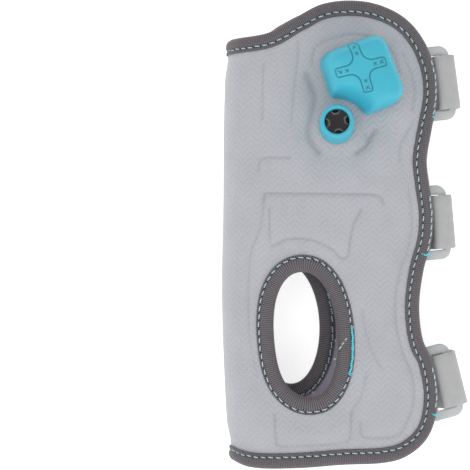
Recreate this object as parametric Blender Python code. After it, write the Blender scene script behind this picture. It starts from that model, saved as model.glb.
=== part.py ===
"""Inflatable wrist splint: a padded wrap folded into a flat sleeve, with thumb holes, straps, pump and valve.

The sleeve lies on its back panel. +X runs from the fold to the open edge, +Y from the hand end to the
forearm end and +Z up through the front panel. The origin is at the middle of the underside.

The wrap is cut as a flat pattern and laid round a section. A pattern point is (u, v): u is the way round
the section from the fold, in front of it above 0 and behind it below 0, and v is the place along the arm.
Depth is measured inwards from the outer skin.
"""

import math

import bmesh
import bpy
import numpy as np
from mathutils import Matrix, Vector
from mathutils.geometry import delaunay_2d_cdt

MM = 0.001

# The sleeve as a whole
LENGTH = 221.0 * MM  # the panel, from the hand end to the forearm end
WIDTH = 103.4 * MM  # from the fold to the front panel's furthest edge
HEIGHT = 36 * MM  # the crown of the front panel above the surface
FOLD_SHIFT = 3.5 * MM  # how far the pattern's middle lies in front of the fold
GAP = 0.3 * MM  # the clearance between pieces that touch

# The layers of the wall
PAD_EDGE = 2.5 * MM  # the padded wrap where it is bound
PAD_PUFF = 1.3 * MM  # how much the air swells it inside the binding
PUFF_RUN = 12 * MM  # how far from the binding the swelling takes to grow
LINING = 0.7 * MM
TAPE = 0.7 * MM  # the binding tape's thickness
TAPE_COVER = 6.5 * MM  # how far the tape reaches over the wall

# The thumb holes, as cut in the wrap
THUMB_WIDTH = 32.5 * MM
THUMB_LENGTH = 61 * MM
THUMB_ACROSS = 0.388  # share of the width
THUMB_ALONG = -0.216  # share of the length
THUMB_TURN = math.radians(6)
THUMB_COVER = 6.6 * MM  # how far the tape reaches over the wall there
THUMB_BACK_RISE = 3.8 * MM  # how far up the arm the back hole is cut from the front one
THUMB_BACK_SHIFT = 1.3 * MM  # how much nearer the fold the back hole is
THUMB_BACK_TURN = math.radians(-4)  # how much less the back hole leans

# The straps and their plastic rings
STRAP_WIDTH = 26 * MM
STRAP_THICK = 1.6 * MM
STRAP_SEWN = 10 * MM  # the end that is sewn inside the back panel
STRAP_SIDE = 0.8 * MM  # the strap's play in the ring, on each side
STRAP_SLACK = 0.9 * MM  # how loosely the strap's loop goes round the ring
STRAP_CLEAR = 0.3 * MM  # how far past the binding the strap comes up, more than the gap
RING_BAR = 3.4 * MM
RING_END = 4.2 * MM  # how wide the ring's two ends are
RING_THICK = 2.4 * MM
RING_BEVEL = 0.55 * MM
RING_CORNER = 4.8 * MM
RING_ROOT = 3.5 * MM  # how far under the binding the ring's inner bar lies

# The pump bulb
PUMP_WIDTH = 31.5 * MM
PUMP_LENGTH = 33.6 * MM
PUMP_HEIGHT = 18 * MM
PUMP_CORNER = 6 * MM
PUMP_TURN = math.radians(21.3)
PUMP_ACROSS = 0.6335  # share of the width
PUMP_ALONG = 0.3355  # share of the length
PUMP_CLEAR = 5.9 * MM  # the room that the bulb's scooped corner leaves round the valve

# The release valve
VALVE_RADIUS = 8.4 * MM  # at its foot
VALVE_TAPER = 0.7 * MM
VALVE_HEIGHT = 17 * MM
VALVE_BORE = 5.8 * MM
VALVE_FLOOR = 5 * MM  # the bore's blind end above the foot
VALVE_LEAN = math.radians(5)  # towards the fold, and as much towards the forearm
VALVE_ACROSS = 0.524  # share of the width
VALVE_ALONG = 0.232  # share of the length
BUTTON_PLAY = 0.3 * MM
BUTTON_RECESS = 1.6 * MM  # how far the button lies below the rim
BUTTON_TRAVEL = 2 * MM

# How finely the shapes are divided
EDGE_STEP = 7.2 * MM
HOLE_STEP = 6.4 * MM
FOLD_STEP = 5 * MM
PANEL_STEP = 8.5 * MM
LINING_STEP = 17 * MM

# What follows from the sizes above
STRAP_LIFT = STRAP_THICK + 2 * GAP  # the back panel's height over the straps
SKIN_DEPTH = PAD_PUFF  # the skin's depth where it is bound
PAD_DEPTH = PAD_PUFF + PAD_EDGE
LINING_TOP = PAD_DEPTH + GAP
LINING_DEPTH = LINING_TOP + LINING
TAPE_TOP = SKIN_DEPTH - GAP - TAPE
TAPE_DEPTH = LINING_DEPTH + GAP + TAPE
TAPE_EDGE = GAP + TAPE  # how far the binding stands past the cut edge
RING_DEPTH = TAPE_DEPTH + 2 * GAP + RING_THICK / 2

# The sleeve's section, from the back panel's edge round the fold to the front panel's edge.
# across is a share of the width, height of the height, and lift of the straps' thickness.
SECTION = [
    # across, height, lift
    (1.02, 0.060, 1.0),
    (0.80, 0.018, 1.0),
    (0.56, 0.000, 1.0),
    (0.36, 0.000, 1.0),
    (0.23, 0.000, 0.2),
    (0.13, 0.020, 0.0),
    (0.035, 0.190, 0.0),
    (0.000, 0.460, 0.0),
    (0.040, 0.740, 0.0),
    (0.130, 0.905, 0.0),
    (0.300, 0.985, 0.0),
    (0.520, 1.000, 0.0),
    (0.760, 0.945, 0.0),
    (1.020, 0.800, 0.0),
]

# The fold's inset from its furthest point, as a share of the width, and the crown's share of the height.
STATIONS = [
    # along, inset, crown
    (0.50, 0.026, 1.00),
    (0.29, 0.011, 0.98),
    (0.07, 0.005, 0.95),
    (-0.14, 0.000, 0.94),
    (-0.25, 0.005, 0.95),
    (-0.36, 0.016, 0.96),
    (-0.44, 0.028, 0.97),
    (-0.50, 0.036, 0.98),
]

# The front panel's cut edge, from the fold at the forearm end round to the fold at the hand end.
EDGE = [
    # across, along
    (0.000, 0.4235),
    (0.182, 0.430),
    (0.330, 0.465),
    (0.449, 0.492),
    (0.588, 0.500),
    (0.723, 0.491),
    (0.848, 0.463),
    (0.936, 0.416),
    (0.988, 0.353),
    (0.995, 0.293),
    (0.969, 0.227),
    (0.947, 0.162),
    (0.960, 0.107),
    (0.977, 0.048),
    (0.970, -0.012),
    (0.932, -0.078),
    (0.912, -0.154),
    (0.928, -0.226),
    (0.975, -0.276),
    (1.000, -0.344),
    (0.984, -0.404),
    (0.934, -0.447),
    (0.840, -0.477),
    (0.726, -0.488),
    (0.541, -0.4905),
    (0.356, -0.497),
    (0.182, -0.500),
    (0.081, -0.498),
    (0.000, -0.491),
]

# Creases in the front skin where it is drawn in round the pump and the valve, and between the air cells.
# long and wide are shares of the width, deep is a share of the puff, and turn is in degrees from +Y.
DENTS = [
    # across, along, long, wide, turn, deep
    (0.400, 0.285, 0.16, 0.040, 4, 0.95),
    (0.405, 0.200, 0.12, 0.050, -12, 0.85),
    (0.640, 0.195, 0.10, 0.045, -38, 0.90),
    (0.520, 0.436, 0.16, 0.035, -68, 0.60),
    (0.870, 0.340, 0.18, 0.040, 14, 0.55),
    (0.840, 0.200, 0.14, 0.040, -28, 0.50),
    (0.450, 0.092, 0.50, 0.030, 90, 0.55),
    (0.280, 0.020, 0.16, 0.030, 8, 0.45),
    (0.820, -0.160, 0.22, 0.035, 0, 0.50),
    (0.400, -0.475, 0.34, 0.030, 92, 0.50),
    (0.650, -0.225, 0.24, 0.035, 16, 0.45),
]

# The straps, from the forearm end: reach is how far each ring stands past the binding, and tail is how
# much of the strap lies under the back panel, as a share of the width.
STRAPS = [
    # name, along, turn, reach, tail
    ("forearm", 0.330, 7.5, 9.1 * MM, 0.62),
    ("wrist", 0.026, 4.9, 8.7 * MM, 0.62),
    ("hand", -0.326, 14.0, 10.8 * MM, 0.42),
]


def hermite(x, xs, ys):
    """A smooth curve through the points (xs, ys), with xs rising, read at x."""
    x, xs, ys = np.asarray(x, float), np.asarray(xs, float), np.asarray(ys, float)
    slopes = np.gradient(ys, xs)
    i = np.clip(np.searchsorted(xs, x) - 1, 0, len(xs) - 2)
    span = xs[i + 1] - xs[i]
    t = np.clip((x - xs[i]) / span, 0, 1)
    return (
        (2 * t**3 - 3 * t**2 + 1) * ys[i]
        + (t**3 - 2 * t**2 + t) * span * slopes[i]
        + (3 * t**2 - 2 * t**3) * ys[i + 1]
        + (t**3 - t**2) * span * slopes[i + 1]
    )


def smooth_path(points, samples, closed=False):
    """A smooth curve through points, with samples between each two of them."""
    p = np.asarray(points, float)
    ends = (p[-1:], p[:2]) if closed else (2 * p[:1] - p[1:2], 2 * p[-1:] - p[-2:-1])
    q = np.concatenate([ends[0], p, ends[1]])
    made = []
    for a, b, c, d in zip(q[:-3], q[1:-2], q[2:-1], q[3:]):
        for t in np.arange(samples) / samples:
            made.append(
                0.5
                * (
                    2 * b
                    + (c - a) * t
                    + (2 * a - 5 * b + 4 * c - d) * t**2
                    + (3 * b - a - 3 * c + d) * t**3
                )
            )
    if not closed:
        made.append(p[-1])
    return np.array(made)


def spaced(points, step, closed=True):
    """The same line with its points an even step apart."""
    p = np.concatenate([points, points[:1]]) if closed else points
    way = np.concatenate([[0], np.cumsum(np.linalg.norm(np.diff(p, axis=0), axis=1))])
    count = max(4, round(way[-1] / step))
    at = np.linspace(0, way[-1], count + 1)
    if closed:
        at = at[:-1]
    return np.stack([np.interp(at, way, p[:, k]) for k in range(p.shape[1])], axis=1)


# The section's way round, measured from the fold
_rows = smooth_path(SECTION, 24)
_rows[:, 1:] = np.maximum(_rows[:, 1:], 0)
_x = _rows[:, 0] * WIDTH
_z = _rows[:, 1] * HEIGHT + _rows[:, 2] * STRAP_LIFT
_way = np.concatenate([[0], np.cumsum(np.hypot(np.diff(_x), np.diff(_z)))])
FOLD_ROW = int(np.argmin(_rows[:, 0]))
WAY = _way - _way[FOLD_ROW]


def on_section(u, v):
    """x, z and the inward direction at pattern points (u, v)."""
    along = v / LENGTH
    inset = hermite(along, *stations(1)) * WIDTH
    crown = hermite(along, *stations(2)) * HEIGHT
    across, height, lift = (np.interp(u, WAY, _rows[:, k]) for k in range(3))
    slope = [np.gradient(_rows[:, k], WAY) for k in range(3)]
    d_across, d_height, d_lift = (np.interp(u, WAY, s) for s in slope)
    x = inset + across * (WIDTH - inset)
    z = height * crown + lift * STRAP_LIFT
    tx = d_across * (WIDTH - inset)
    tz = d_height * crown + d_lift * STRAP_LIFT
    size = np.hypot(tx, tz)
    return x, z, tz / size, -tx / size


def stations(column):
    rows = np.array(STATIONS)[::-1]
    return rows[:, 0], rows[:, column]


def placed(u, v, depth):
    """Points in space for pattern points (u, v) at a depth under the outer skin."""
    u, v, depth = np.broadcast_arrays(*(np.asarray(k, float) for k in (u, v, depth)))
    x, z, nx, nz = on_section(u, v)
    return np.stack([x + depth * nx, v, z + depth * nz], axis=-1)


def front_way(across):
    """The way round the section to a point of the front panel seen from above."""
    return np.interp(across, _rows[FOLD_ROW:, 0], WAY[FOLD_ROW:])


def edge_loop():
    """The pattern's cut edge: the front half and its mirror image behind the fold."""
    rows = np.array(EDGE)
    front = np.stack([front_way(rows[:, 0]), rows[:, 1] * LENGTH], axis=1)
    front[[0, -1], 0] = FOLD_SHIFT
    back = front[-2:0:-1] * [-1, 1] + [2 * FOLD_SHIFT, 0]
    return smooth_path(np.concatenate([front, back]), 8, closed=True)


def thumb_loop(side):
    """The cut edge of the thumb hole in front (1) or behind (-1)."""
    turn = np.linspace(0, 2 * math.pi, 96, endpoint=False)
    a, b = np.cos(turn) * THUMB_WIDTH / 2, np.sin(turn) * THUMB_LENGTH / 2
    lean = THUMB_TURN if side > 0 else THUMB_TURN + THUMB_BACK_TURN
    c, s = math.cos(lean), math.sin(lean)
    u = front_way(THUMB_ACROSS) + a * c - b * s
    v = THUMB_ALONG * LENGTH + a * s + b * c
    if side < 0:
        u, v = 2 * FOLD_SHIFT - u + THUMB_BACK_SHIFT, v + THUMB_BACK_RISE
    return np.stack([u, v], axis=1)


def outward(loop, hole):
    """The unit directions, in the pattern, that point off the wall all along a cut edge."""
    ahead = np.roll(loop, -1, axis=0) - np.roll(loop, 1, axis=0)
    normal = np.stack([ahead[:, 1], -ahead[:, 0]], axis=1)
    normal /= np.linalg.norm(normal, axis=1)[:, None]
    away = (normal * (loop - loop.mean(0))).sum() > 0
    return normal if away != hole else -normal


def distance_to(loop, points):
    """How far points lie from a closed line, and whether they are inside it."""
    a, b = loop[:, None], np.roll(loop, -1, axis=0)[:, None]
    ab, ap = b - a, points[None] - a
    t = np.clip((ap * ab).sum(2) / (ab**2).sum(2), 0, 1)
    far = np.linalg.norm(ap - t[..., None] * ab, axis=2).min(0)
    y = points[None, :, 1]
    crosses = (a[..., 1] > y) != (b[..., 1] > y)
    at = a[..., 0] + (y - a[..., 1]) * ab[..., 0] / np.where(ab[..., 1] == 0, 1, ab[..., 1])
    return far, (crosses & (at > points[None, :, 0])).sum(0) % 2 == 1


EDGE_LINE = spaced(edge_loop(), EDGE_STEP)
THUMB_LINES = [spaced(thumb_loop(side), HOLE_STEP) for side in (1, -1)]
CUT_LINES = [(EDGE_LINE, False, TAPE_COVER)] + [(line, True, THUMB_COVER) for line in THUMB_LINES]


def wall_distance(points, covered=0):
    """How far inside the wall pattern points lie, or inside its bindings if covered is 1."""
    found = np.inf
    for line, hole, cover in CUT_LINES:
        far, inside = distance_to(line, points)
        found = np.minimum(found, np.where(inside != hole, far, -far) - covered * (cover + GAP))
    return found


def dent_axes():
    """Each dent's middle, direction, half length, half width and depth, in the pattern."""
    for across, along, long, wide, turn, deep in DENTS:
        middle = np.array([float(front_way(across)), along * LENGTH])
        way = np.array([-math.sin(math.radians(turn)), math.cos(math.radians(turn))])
        yield middle, way, long * WIDTH / 2, wide * WIDTH / 2, deep * PAD_PUFF


def skin_depth(points):
    """The outer skin's depth: drawn in at the binding and in the dents, and swollen elsewhere."""
    t = np.clip(wall_distance(points, covered=1) / PUFF_RUN, 0, 1)
    found = SKIN_DEPTH * (1 - t * t * (3 - 2 * t))
    for middle, way, long, wide, deep in dent_axes():
        off = points - middle
        a, b = off @ way / long, off @ [way[1], -way[0]] / wide
        found = np.maximum(found, deep * np.exp(-(a**4)) * np.exp(-(b**2)))
    return found


def dent_points():
    """Extra pattern points that hold each dent's floor and its two lips."""
    found = []
    for middle, way, long, wide, _ in dent_axes():
        side = np.array([way[1], -way[0]])
        for share in np.linspace(-1, 1, max(3, round(long / (4.5 * MM)) + 1)):
            for lip in (-1.9, 0, 1.9):
                found.append(middle + way * share * long + side * lip * wide)
    return np.array(found)


def panel_points(step, dents):
    """Points all over the pattern: rows round the fold and beyond it, and the dents' own."""
    reach = EDGE_LINE[:, 0].min(), EDGE_LINE[:, 0].max()
    fold = 5 * FOLD_STEP
    rows = np.concatenate(
        [
            np.arange(-fold, reach[0], -PANEL_STEP)[1:],
            np.arange(-fold, fold + FOLD_STEP / 2, FOLD_STEP),
            np.arange(fold, reach[1], PANEL_STEP)[1:],
        ]
    )
    places = np.arange(-LENGTH / 2, LENGTH / 2, step)
    grid = [(u, v + step / 2 * (n % 2)) for n, u in enumerate(rows) for v in places]
    grid = np.array(grid)
    if dents:
        own = dent_points()
        near = np.linalg.norm(grid[:, None] - own[None], axis=2).min(1)
        grid = np.concatenate([own, grid[near > step * 0.42]])
    return grid[wall_distance(grid, covered=1) > PANEL_STEP * 0.42]


def cut_panel(step, dents=False):
    """The pattern as points and triangles. The cut edges' points come first."""
    rings = [line for line, _, _ in CUT_LINES]
    lips = [line - outward(line, hole) * (cover + GAP) for line, hole, cover in CUT_LINES]
    edges, count = [], 0
    for ring in rings + lips:
        edges += [(count + k, count + (k + 1) % len(ring)) for k in range(len(ring))]
        count += len(ring)
    flat = np.concatenate([*rings, *lips, panel_points(step, dents)])
    made = delaunay_2d_cdt([Vector(p / MM) for p in flat], edges, [], 0, 1e-4, False)
    points = np.array([tuple(p) for p in made[0]]) * MM
    faces = np.array(made[2])
    middle = points[faces].mean(1)
    return points, faces[wall_distance(middle) > 0]


def layer(name, outer, inner, paint):
    """A closed sheet between two surfaces, each (points, triangles, depth at the points)."""
    mesh = bmesh.new()
    rims = []
    for points, faces, depth in (outer, inner):
        verts = [mesh.verts.new(p) for p in placed(points[:, 0], points[:, 1], depth)]
        for face in faces:
            mesh.faces.new([verts[k] for k in face])
        rims.append(verts)
    start = 0
    for line, _, _ in CUT_LINES:
        for k in range(len(line)):
            a, b = start + k, start + (k + 1) % len(line)
            mesh.faces.new([rims[0][a], rims[0][b], rims[1][b], rims[1][a]])
        start += len(line)
    loose = [vert for vert in mesh.verts if not vert.link_faces]
    bmesh.ops.delete(mesh, geom=loose)
    return solid(name, mesh, paint)


def solid(name, mesh, paint, matrix=None, smooth=True):
    """An object from a bmesh, with its faces turned outwards."""
    bmesh.ops.recalc_face_normals(mesh, faces=mesh.faces)
    data = bpy.data.meshes.new(name)
    mesh.to_mesh(data)
    mesh.free()
    if matrix is not None:
        data.transform(matrix)
    made = bpy.data.objects.new(name, data)
    bpy.context.scene.collection.objects.link(made)
    data.materials.append(paint)
    if smooth:
        data.shade_smooth()
        data.set_sharp_from_angle(angle=math.radians(40))
    return made


def painted(name, colour, roughness):
    """A plain material in an sRGB hex colour."""
    paint = bpy.data.materials.new(name)
    paint.use_nodes = True
    shader = paint.node_tree.nodes["Principled BSDF"]
    srgb = [int(colour[k : k + 2], 16) / 255 for k in (0, 2, 4)]
    linear = [((c + 0.055) / 1.055) ** 2.4 if c > 0.04 else c / 12.92 for c in srgb]
    shader.inputs["Base Color"].default_value = (*linear, 1)
    shader.inputs["Roughness"].default_value = roughness
    shader.inputs["Metallic"].default_value = 0
    return paint


def make_wrap(paint):
    """The padded wrap, which holds the air cells between its outer skin and its inner face."""
    points, faces = cut_panel(PANEL_STEP, dents=True)
    inner, inner_faces = cut_panel(LINING_STEP)
    return layer(
        "wrap",
        (points, faces, skin_depth(points)),
        (inner, inner_faces, PAD_DEPTH),
        paint,
    )


def make_lining(paint):
    """The thin cloth that lines the wrap."""
    points, faces = cut_panel(LINING_STEP)
    return layer("lining", (points, faces, LINING_TOP), (points, faces, LINING_DEPTH), paint)


def make_binding(name, line, hole, cover, paint):
    """A tape folded over a cut edge: a U in section, closed round on itself."""
    bend = TAPE
    profile = [
        # past the edge, depth
        (-cover, TAPE_TOP),
        (-bend, TAPE_TOP),
        (TAPE_EDGE, TAPE_TOP + 2 * bend),
        (TAPE_EDGE, TAPE_DEPTH - 2 * bend),
        (-bend, TAPE_DEPTH),
        (-cover, TAPE_DEPTH),
        (-cover, LINING_DEPTH + GAP),
        (GAP, LINING_DEPTH + GAP),
        (GAP, SKIN_DEPTH - GAP),
        (-cover, SKIN_DEPTH - GAP),
    ]
    off = outward(line, hole)
    mesh = bmesh.new()
    rings = []
    for past, depth in profile:
        at = line + off * past
        rings.append([mesh.verts.new(p) for p in placed(at[:, 0], at[:, 1], depth)])
    sew_rings(mesh, rings)
    return solid(name, mesh, paint)


def sew_rings(mesh, rings, closed=True):
    """Faces between rings of points; closed rings of rings make a hoop, and others get end caps."""
    pairs = list(zip(rings, rings[1:] + rings[:1])) if closed else list(zip(rings, rings[1:]))
    for a, b in pairs:
        for k in range(len(a)):
            n = (k + 1) % len(a)
            mesh.faces.new([a[k], a[n], b[n], b[k]])
    if not closed:
        mesh.faces.new(rings[0][::-1])
        mesh.faces.new(rings[-1])


class Station:
    """Where a strap crosses the open edge: its frame, and the heights of what it meets there.

    out is the way off the edge and side the way along it. A place out from the edge is called w.
    """

    def __init__(self, along, turn, reach, tail):
        angle = math.radians(turn)
        self.out = np.array([math.cos(angle), math.sin(angle)])
        self.side = np.array([-self.out[1], self.out[0]])
        self.reach = reach
        self.tail = tail * WIDTH
        v = along * LENGTH
        self.edge = placed(front_edge(v), v, TAPE_DEPTH)[:2]
        w, _ = self.skirt(1, [TAPE_EDGE])
        self.edge = self.edge + self.out * w.max()
        w, _ = self.skirt(-1, [TAPE_EDGE])
        self.back = w.max()
        low, high = (placed(front_edge(v) - k, v, TAPE_DEPTH) for k in (0, TAPE_COVER))
        self.slope = (high[2] - low[2]) / (low[0] - high[0])
        inwards = [TAPE_EDGE, 0, -TAPE_COVER / 2, -TAPE_COVER, -1.6 * TAPE_COVER]
        w, z = self.skirt(1, inwards)
        near = w > -RING_ROOT - RING_BAR
        self.height = (z + w * self.slope)[near].min() - RING_THICK / 2 - GAP
        _, z = self.skirt(-1, inwards + [-TAPE_COVER - STRAP_SEWN])
        self.seat = z.max() + STRAP_THICK / 2 + 2 * GAP

    def skirt(self, front, inwards):
        """w and z of the wall's inner face beside the strap, at places past the cut edge."""
        found = []
        for past in inwards:
            line = spaced(EDGE_LINE + outward(EDGE_LINE, False) * past, MM)
            line = line[(line[:, 0] - FOLD_SHIFT) * front > 0]
            at = placed(line[:, 0], line[:, 1], TAPE_DEPTH)
            w, s = (at[:, :2] - self.edge) @ self.out, (at[:, :2] - self.edge) @ self.side
            beside = (abs(s) < STRAP_WIDTH / 2 + STRAP_SIDE + RING_END) & (w > -WIDTH / 2)
            found.append(np.stack([w, at[:, 2]])[:, beside])
        return np.concatenate(found, axis=1)

    def ring_height(self, w):
        """The height of the ring's middle plane."""
        return self.height - w * self.slope

    def point(self, w, s, z):
        x, y = self.edge + self.out * w + self.side * s
        return x, y, z


def front_edge(v):
    """The pattern place of the front panel's open edge at v."""
    rows = edge_loop()
    rows = rows[rows[:, 0] > front_way(0.8)]
    order = np.argsort(rows[:, 1])
    return float(np.interp(v, rows[order, 1], rows[order, 0]))


def strap_path(at):
    """The strap's middle line, as (out, height): from its sewn end through the ring and back under."""
    half = STRAP_THICK / 2
    off = GAP + half
    slot = GAP + half + STRAP_CLEAR
    outer = at.reach + STRAP_SLACK + half
    rise = at.ring_height(slot) - at.seat
    points = [
        # out, height
        (at.back - STRAP_SEWN - TAPE_COVER, at.seat),
        (at.back - STRAP_SEWN / 2, at.seat),
        (at.back + half, at.seat + 0.06 * rise),
        (at.back * 0.45 + slot * 0.55, at.seat + 0.30 * rise),
        (slot - 0.4 * half, at.seat + 0.66 * rise),
    ]
    shoulder = RING_THICK / 2 - RING_BEVEL
    for turn in (180, 135, 90, 89, 60, 30, 0):
        c, s = math.cos(math.radians(turn)), math.sin(math.radians(turn))
        radius = off + RING_BEVEL
        if turn < 90:
            radius += (1 - s) * (STRAP_SLACK - GAP)
        corner = at.reach - RING_BEVEL if turn < 90 else slot + radius
        w = corner + c * radius
        points.append((w, at.ring_height(w) + shoulder + s * radius))
    fall = points[-1][1] - half
    for share, drop in ((0.02, 0.30), (0.10, 0.58), (0.32, 0.82), (0.68, 0.96), (1.10, 1.0)):
        points.append((outer - share * fall * 0.75, half + (1 - drop) * fall))
    line = smooth_path(points, 2)
    line[:, 1] = np.maximum(line[:, 1], half)
    ends = [(share - at.tail, half) for share in (STRAP_WIDTH / 4, STRAP_WIDTH / 12, 0)]
    return np.concatenate([line, ends])


def make_strap(name, at, paint):
    """A flat strap, looped through its ring and laid back under the sleeve."""
    line = strap_path(at)
    ahead = np.gradient(line, axis=0)
    ahead /= np.linalg.norm(ahead, axis=1)[:, None]
    normal = np.stack([-ahead[:, 1], ahead[:, 0]], axis=1)
    flat = abs(line[:, 1] - STRAP_THICK / 2) < 0.01 * MM
    normal[flat] = [0, -1]
    mesh = bmesh.new()
    rings = []
    for k, (mid, up) in enumerate(zip(line, normal)):
        left = len(line) - 1 - k
        half = STRAP_WIDTH / 2 * {0: 0.62, 1: 0.90}.get(left, 1.0)
        a, b = mid + up * STRAP_THICK / 2, mid - up * STRAP_THICK / 2
        corners = [(a, half), (a, -half), (b, -half), (b, half)]
        rings.append([mesh.verts.new(at.point(p[0], s, p[1])) for p, s in corners])
    sew_rings(mesh, rings, closed=False)
    return solid(name, mesh, paint)


def ring_outline(at, grow, ends, corner):
    """A round-cornered oblong about the ring's slot, grown across and at its ends, and its outward directions."""
    outer = at.reach - RING_BAR + grow
    inner = RING_BAR / 2 - RING_ROOT - grow
    half = STRAP_WIDTH / 2 + STRAP_SIDE + ends
    tight = min(corner, RING_ROOT / 2)
    corners = [(outer, half, corner), (inner, half, tight), (inner, -half, tight), (outer, -half, corner)]
    found, off = [], []
    for k, (out, side, radius) in enumerate(corners):
        mid_out = out - math.copysign(radius, out - (outer + inner) / 2)
        mid_side = side - math.copysign(radius, side)
        for turn in np.radians(np.linspace(90 * k, 90 * k + 90, 5)):
            off.append((math.cos(turn), math.sin(turn)))
            found.append((mid_out + radius * off[-1][0], mid_side + radius * off[-1][1]))
    return np.array(found), np.array(off)


def make_ring(name, at, paint):
    """A plastic ring whose inner bar is sewn under the front panel's binding."""
    outer, off = ring_outline(at, RING_BAR, RING_END, RING_CORNER)
    inner, _ = ring_outline(at, 0, 0, STRAP_SIDE)
    thick, bevel = RING_THICK / 2, RING_BEVEL
    profile = [
        (outer, bevel - thick),
        (outer, thick - bevel),
        (outer - bevel * off, thick),
        (inner + bevel * off, thick),
        (inner, thick - bevel),
        (inner, bevel - thick),
        (inner + bevel * off, -thick),
        (outer - bevel * off, -thick),
    ]
    mesh = bmesh.new()
    rings = []
    for line, height in profile:
        rings.append([mesh.verts.new(at.point(w, s, at.ring_height(w) + height)) for w, s in line])
    sew_rings(mesh, rings)
    return solid(name, mesh, paint)


def seat_frame(across, along):
    """The frame of a piece that stands on the front skin: its origin there, and +Z off the skin."""
    u, v = float(front_way(across)), along * LENGTH
    foot = placed(u, v, -GAP)
    x, z, nx, nz = on_section(np.array([u]), np.array([v]))
    tilt = Matrix.Rotation(math.atan2(-nx[0], -nz[0]), 4, "Y")
    return Matrix.Translation(Vector(foot)) @ tilt


def pump_outline(count):
    """The bulb's outline seen from above: a round-cornered square, scooped out round the valve."""
    a, b, r = PUMP_WIDTH / 2, PUMP_LENGTH / 2, PUMP_CORNER
    corners = [(a - r, b - r, 0), (r - a, b - r, 90), (r - a, r - b, 180), (a - r, r - b, 270)]
    found = [
        (x + r * math.cos(t), y + r * math.sin(t))
        for x, y, first in corners
        for t in np.radians(np.linspace(first, first + 90, 12))
    ]
    found = np.array(found)
    c, s = math.cos(PUMP_TURN), math.sin(PUMP_TURN)
    found = found @ np.array([[c, s], [-s, c]])
    valve = np.array([(VALVE_ACROSS - PUMP_ACROSS) * WIDTH, (VALVE_ALONG - PUMP_ALONG) * LENGTH])
    found = spaced(found, MM)
    clear = VALVE_RADIUS + PUMP_CLEAR
    away = found - valve
    far = np.linalg.norm(away, axis=1)[:, None]
    found = np.where(far < clear, valve + away * clear / far, found)
    for _ in range(4):
        found = (np.roll(found, 1, axis=0) + 2 * found + np.roll(found, -1, axis=0)) / 4
    way = np.linalg.norm(np.roll(found, -1, axis=0) - found, axis=1).sum()
    return spaced(found, way / count)


def make_pump(paint):
    """The rubber pump bulb, a thick scooped square with soft shoulders on a thin foot."""
    levels = [
        # height and size as shares of the bulb's own, and how much wider the scoop is there
        (0.000, 1.020, 0.0),
        (0.045, 1.020, 0.0),
        (0.070, 0.985, 0.0),
        (0.300, 1.000, 0.5 * MM),
        (0.550, 0.985, 1.9 * MM),
        (0.750, 0.930, 3.4 * MM),
        (0.890, 0.830, 4.8 * MM),
        (0.970, 0.680, 5.8 * MM),
        (1.000, 0.480, 6.2 * MM),
    ]
    valve = np.array([(VALVE_ACROSS - PUMP_ACROSS) * WIDTH, (VALVE_ALONG - PUMP_ALONG) * LENGTH])
    line = pump_outline(40)
    mesh = bmesh.new()
    rings = []
    for height, size, wider in levels:
        z = height * PUMP_HEIGHT
        away = line * size - valve
        far = np.linalg.norm(away, axis=1)[:, None]
        scoop = VALVE_RADIUS + PUMP_CLEAR - PUMP_CLEAR / 8 + wider
        level = valve + away * np.maximum(1, scoop / far)
        rings.append([mesh.verts.new((x, y, z)) for x, y in level])
    sew_rings(mesh, rings, closed=False)
    seat = seat_frame(PUMP_ACROSS, PUMP_ALONG)
    return solid("pump_bulb", mesh, paint, seat)


def turned(profile, sides):
    """A bmesh turned from a profile of (radius, height) whose ends lie on the axis."""
    mesh = bmesh.new()
    turns = np.linspace(0, 2 * math.pi, sides, endpoint=False)
    rings = [
        [mesh.verts.new((r * math.cos(t), r * math.sin(t), z)) for t in turns]
        for r, z in profile
    ]
    sew_rings(mesh, rings, closed=False)
    return mesh


def valve_frame():
    """The valve's frame: its foot lies flat on the skin and its axis leans."""
    lean = Matrix.Identity(4)
    lean[0][2] = -math.tan(VALVE_LEAN)
    lean[1][2] = math.tan(VALVE_LEAN)
    return seat_frame(VALVE_ACROSS, VALVE_ALONG) @ lean


def make_valve(paint):
    """The valve's collar, with a blind bore that the button slides in."""
    top = VALVE_RADIUS - VALVE_TAPER
    profile = [
        # radius, height
        (VALVE_RADIUS, 0),
        (VALVE_RADIUS, VALVE_HEIGHT * 0.35),
        (top, VALVE_HEIGHT * 0.93),
        (top - 0.07 * VALVE_HEIGHT, VALVE_HEIGHT),
        (VALVE_BORE + 0.02 * VALVE_HEIGHT, VALVE_HEIGHT),
        (VALVE_BORE, VALVE_HEIGHT * 0.98),
        (VALVE_BORE, VALVE_FLOOR),
    ]
    return solid("valve_collar", turned(profile, 28), paint, valve_frame())


def make_button(paint):
    """The release button: a round plug with four flutes, sunk below the collar's rim."""
    radius = VALVE_BORE - BUTTON_PLAY
    flute = 0.16
    turns = np.linspace(0, 2 * math.pi, 32, endpoint=False)
    sizes = [1 - flute * (abs(math.cos(2 * t)) > 0.99) for t in turns]
    levels = [
        # height above the bore's floor, size
        (BUTTON_TRAVEL + BUTTON_PLAY, 1.0),
        (VALVE_HEIGHT - VALVE_FLOOR - BUTTON_RECESS - 0.1 * radius, 1.0),
        (VALVE_HEIGHT - VALVE_FLOOR - BUTTON_RECESS, 0.9),
    ]
    mesh = bmesh.new()
    rings = []
    for height, share in levels:
        reach = radius * share * np.array(sizes)
        row = zip(reach * np.cos(turns), reach * np.sin(turns))
        rings.append([mesh.verts.new((x, y, VALVE_FLOOR + height)) for x, y in row])
    sew_rings(mesh, rings, closed=False)
    return solid("release_button", mesh, paint, valve_frame())


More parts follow.
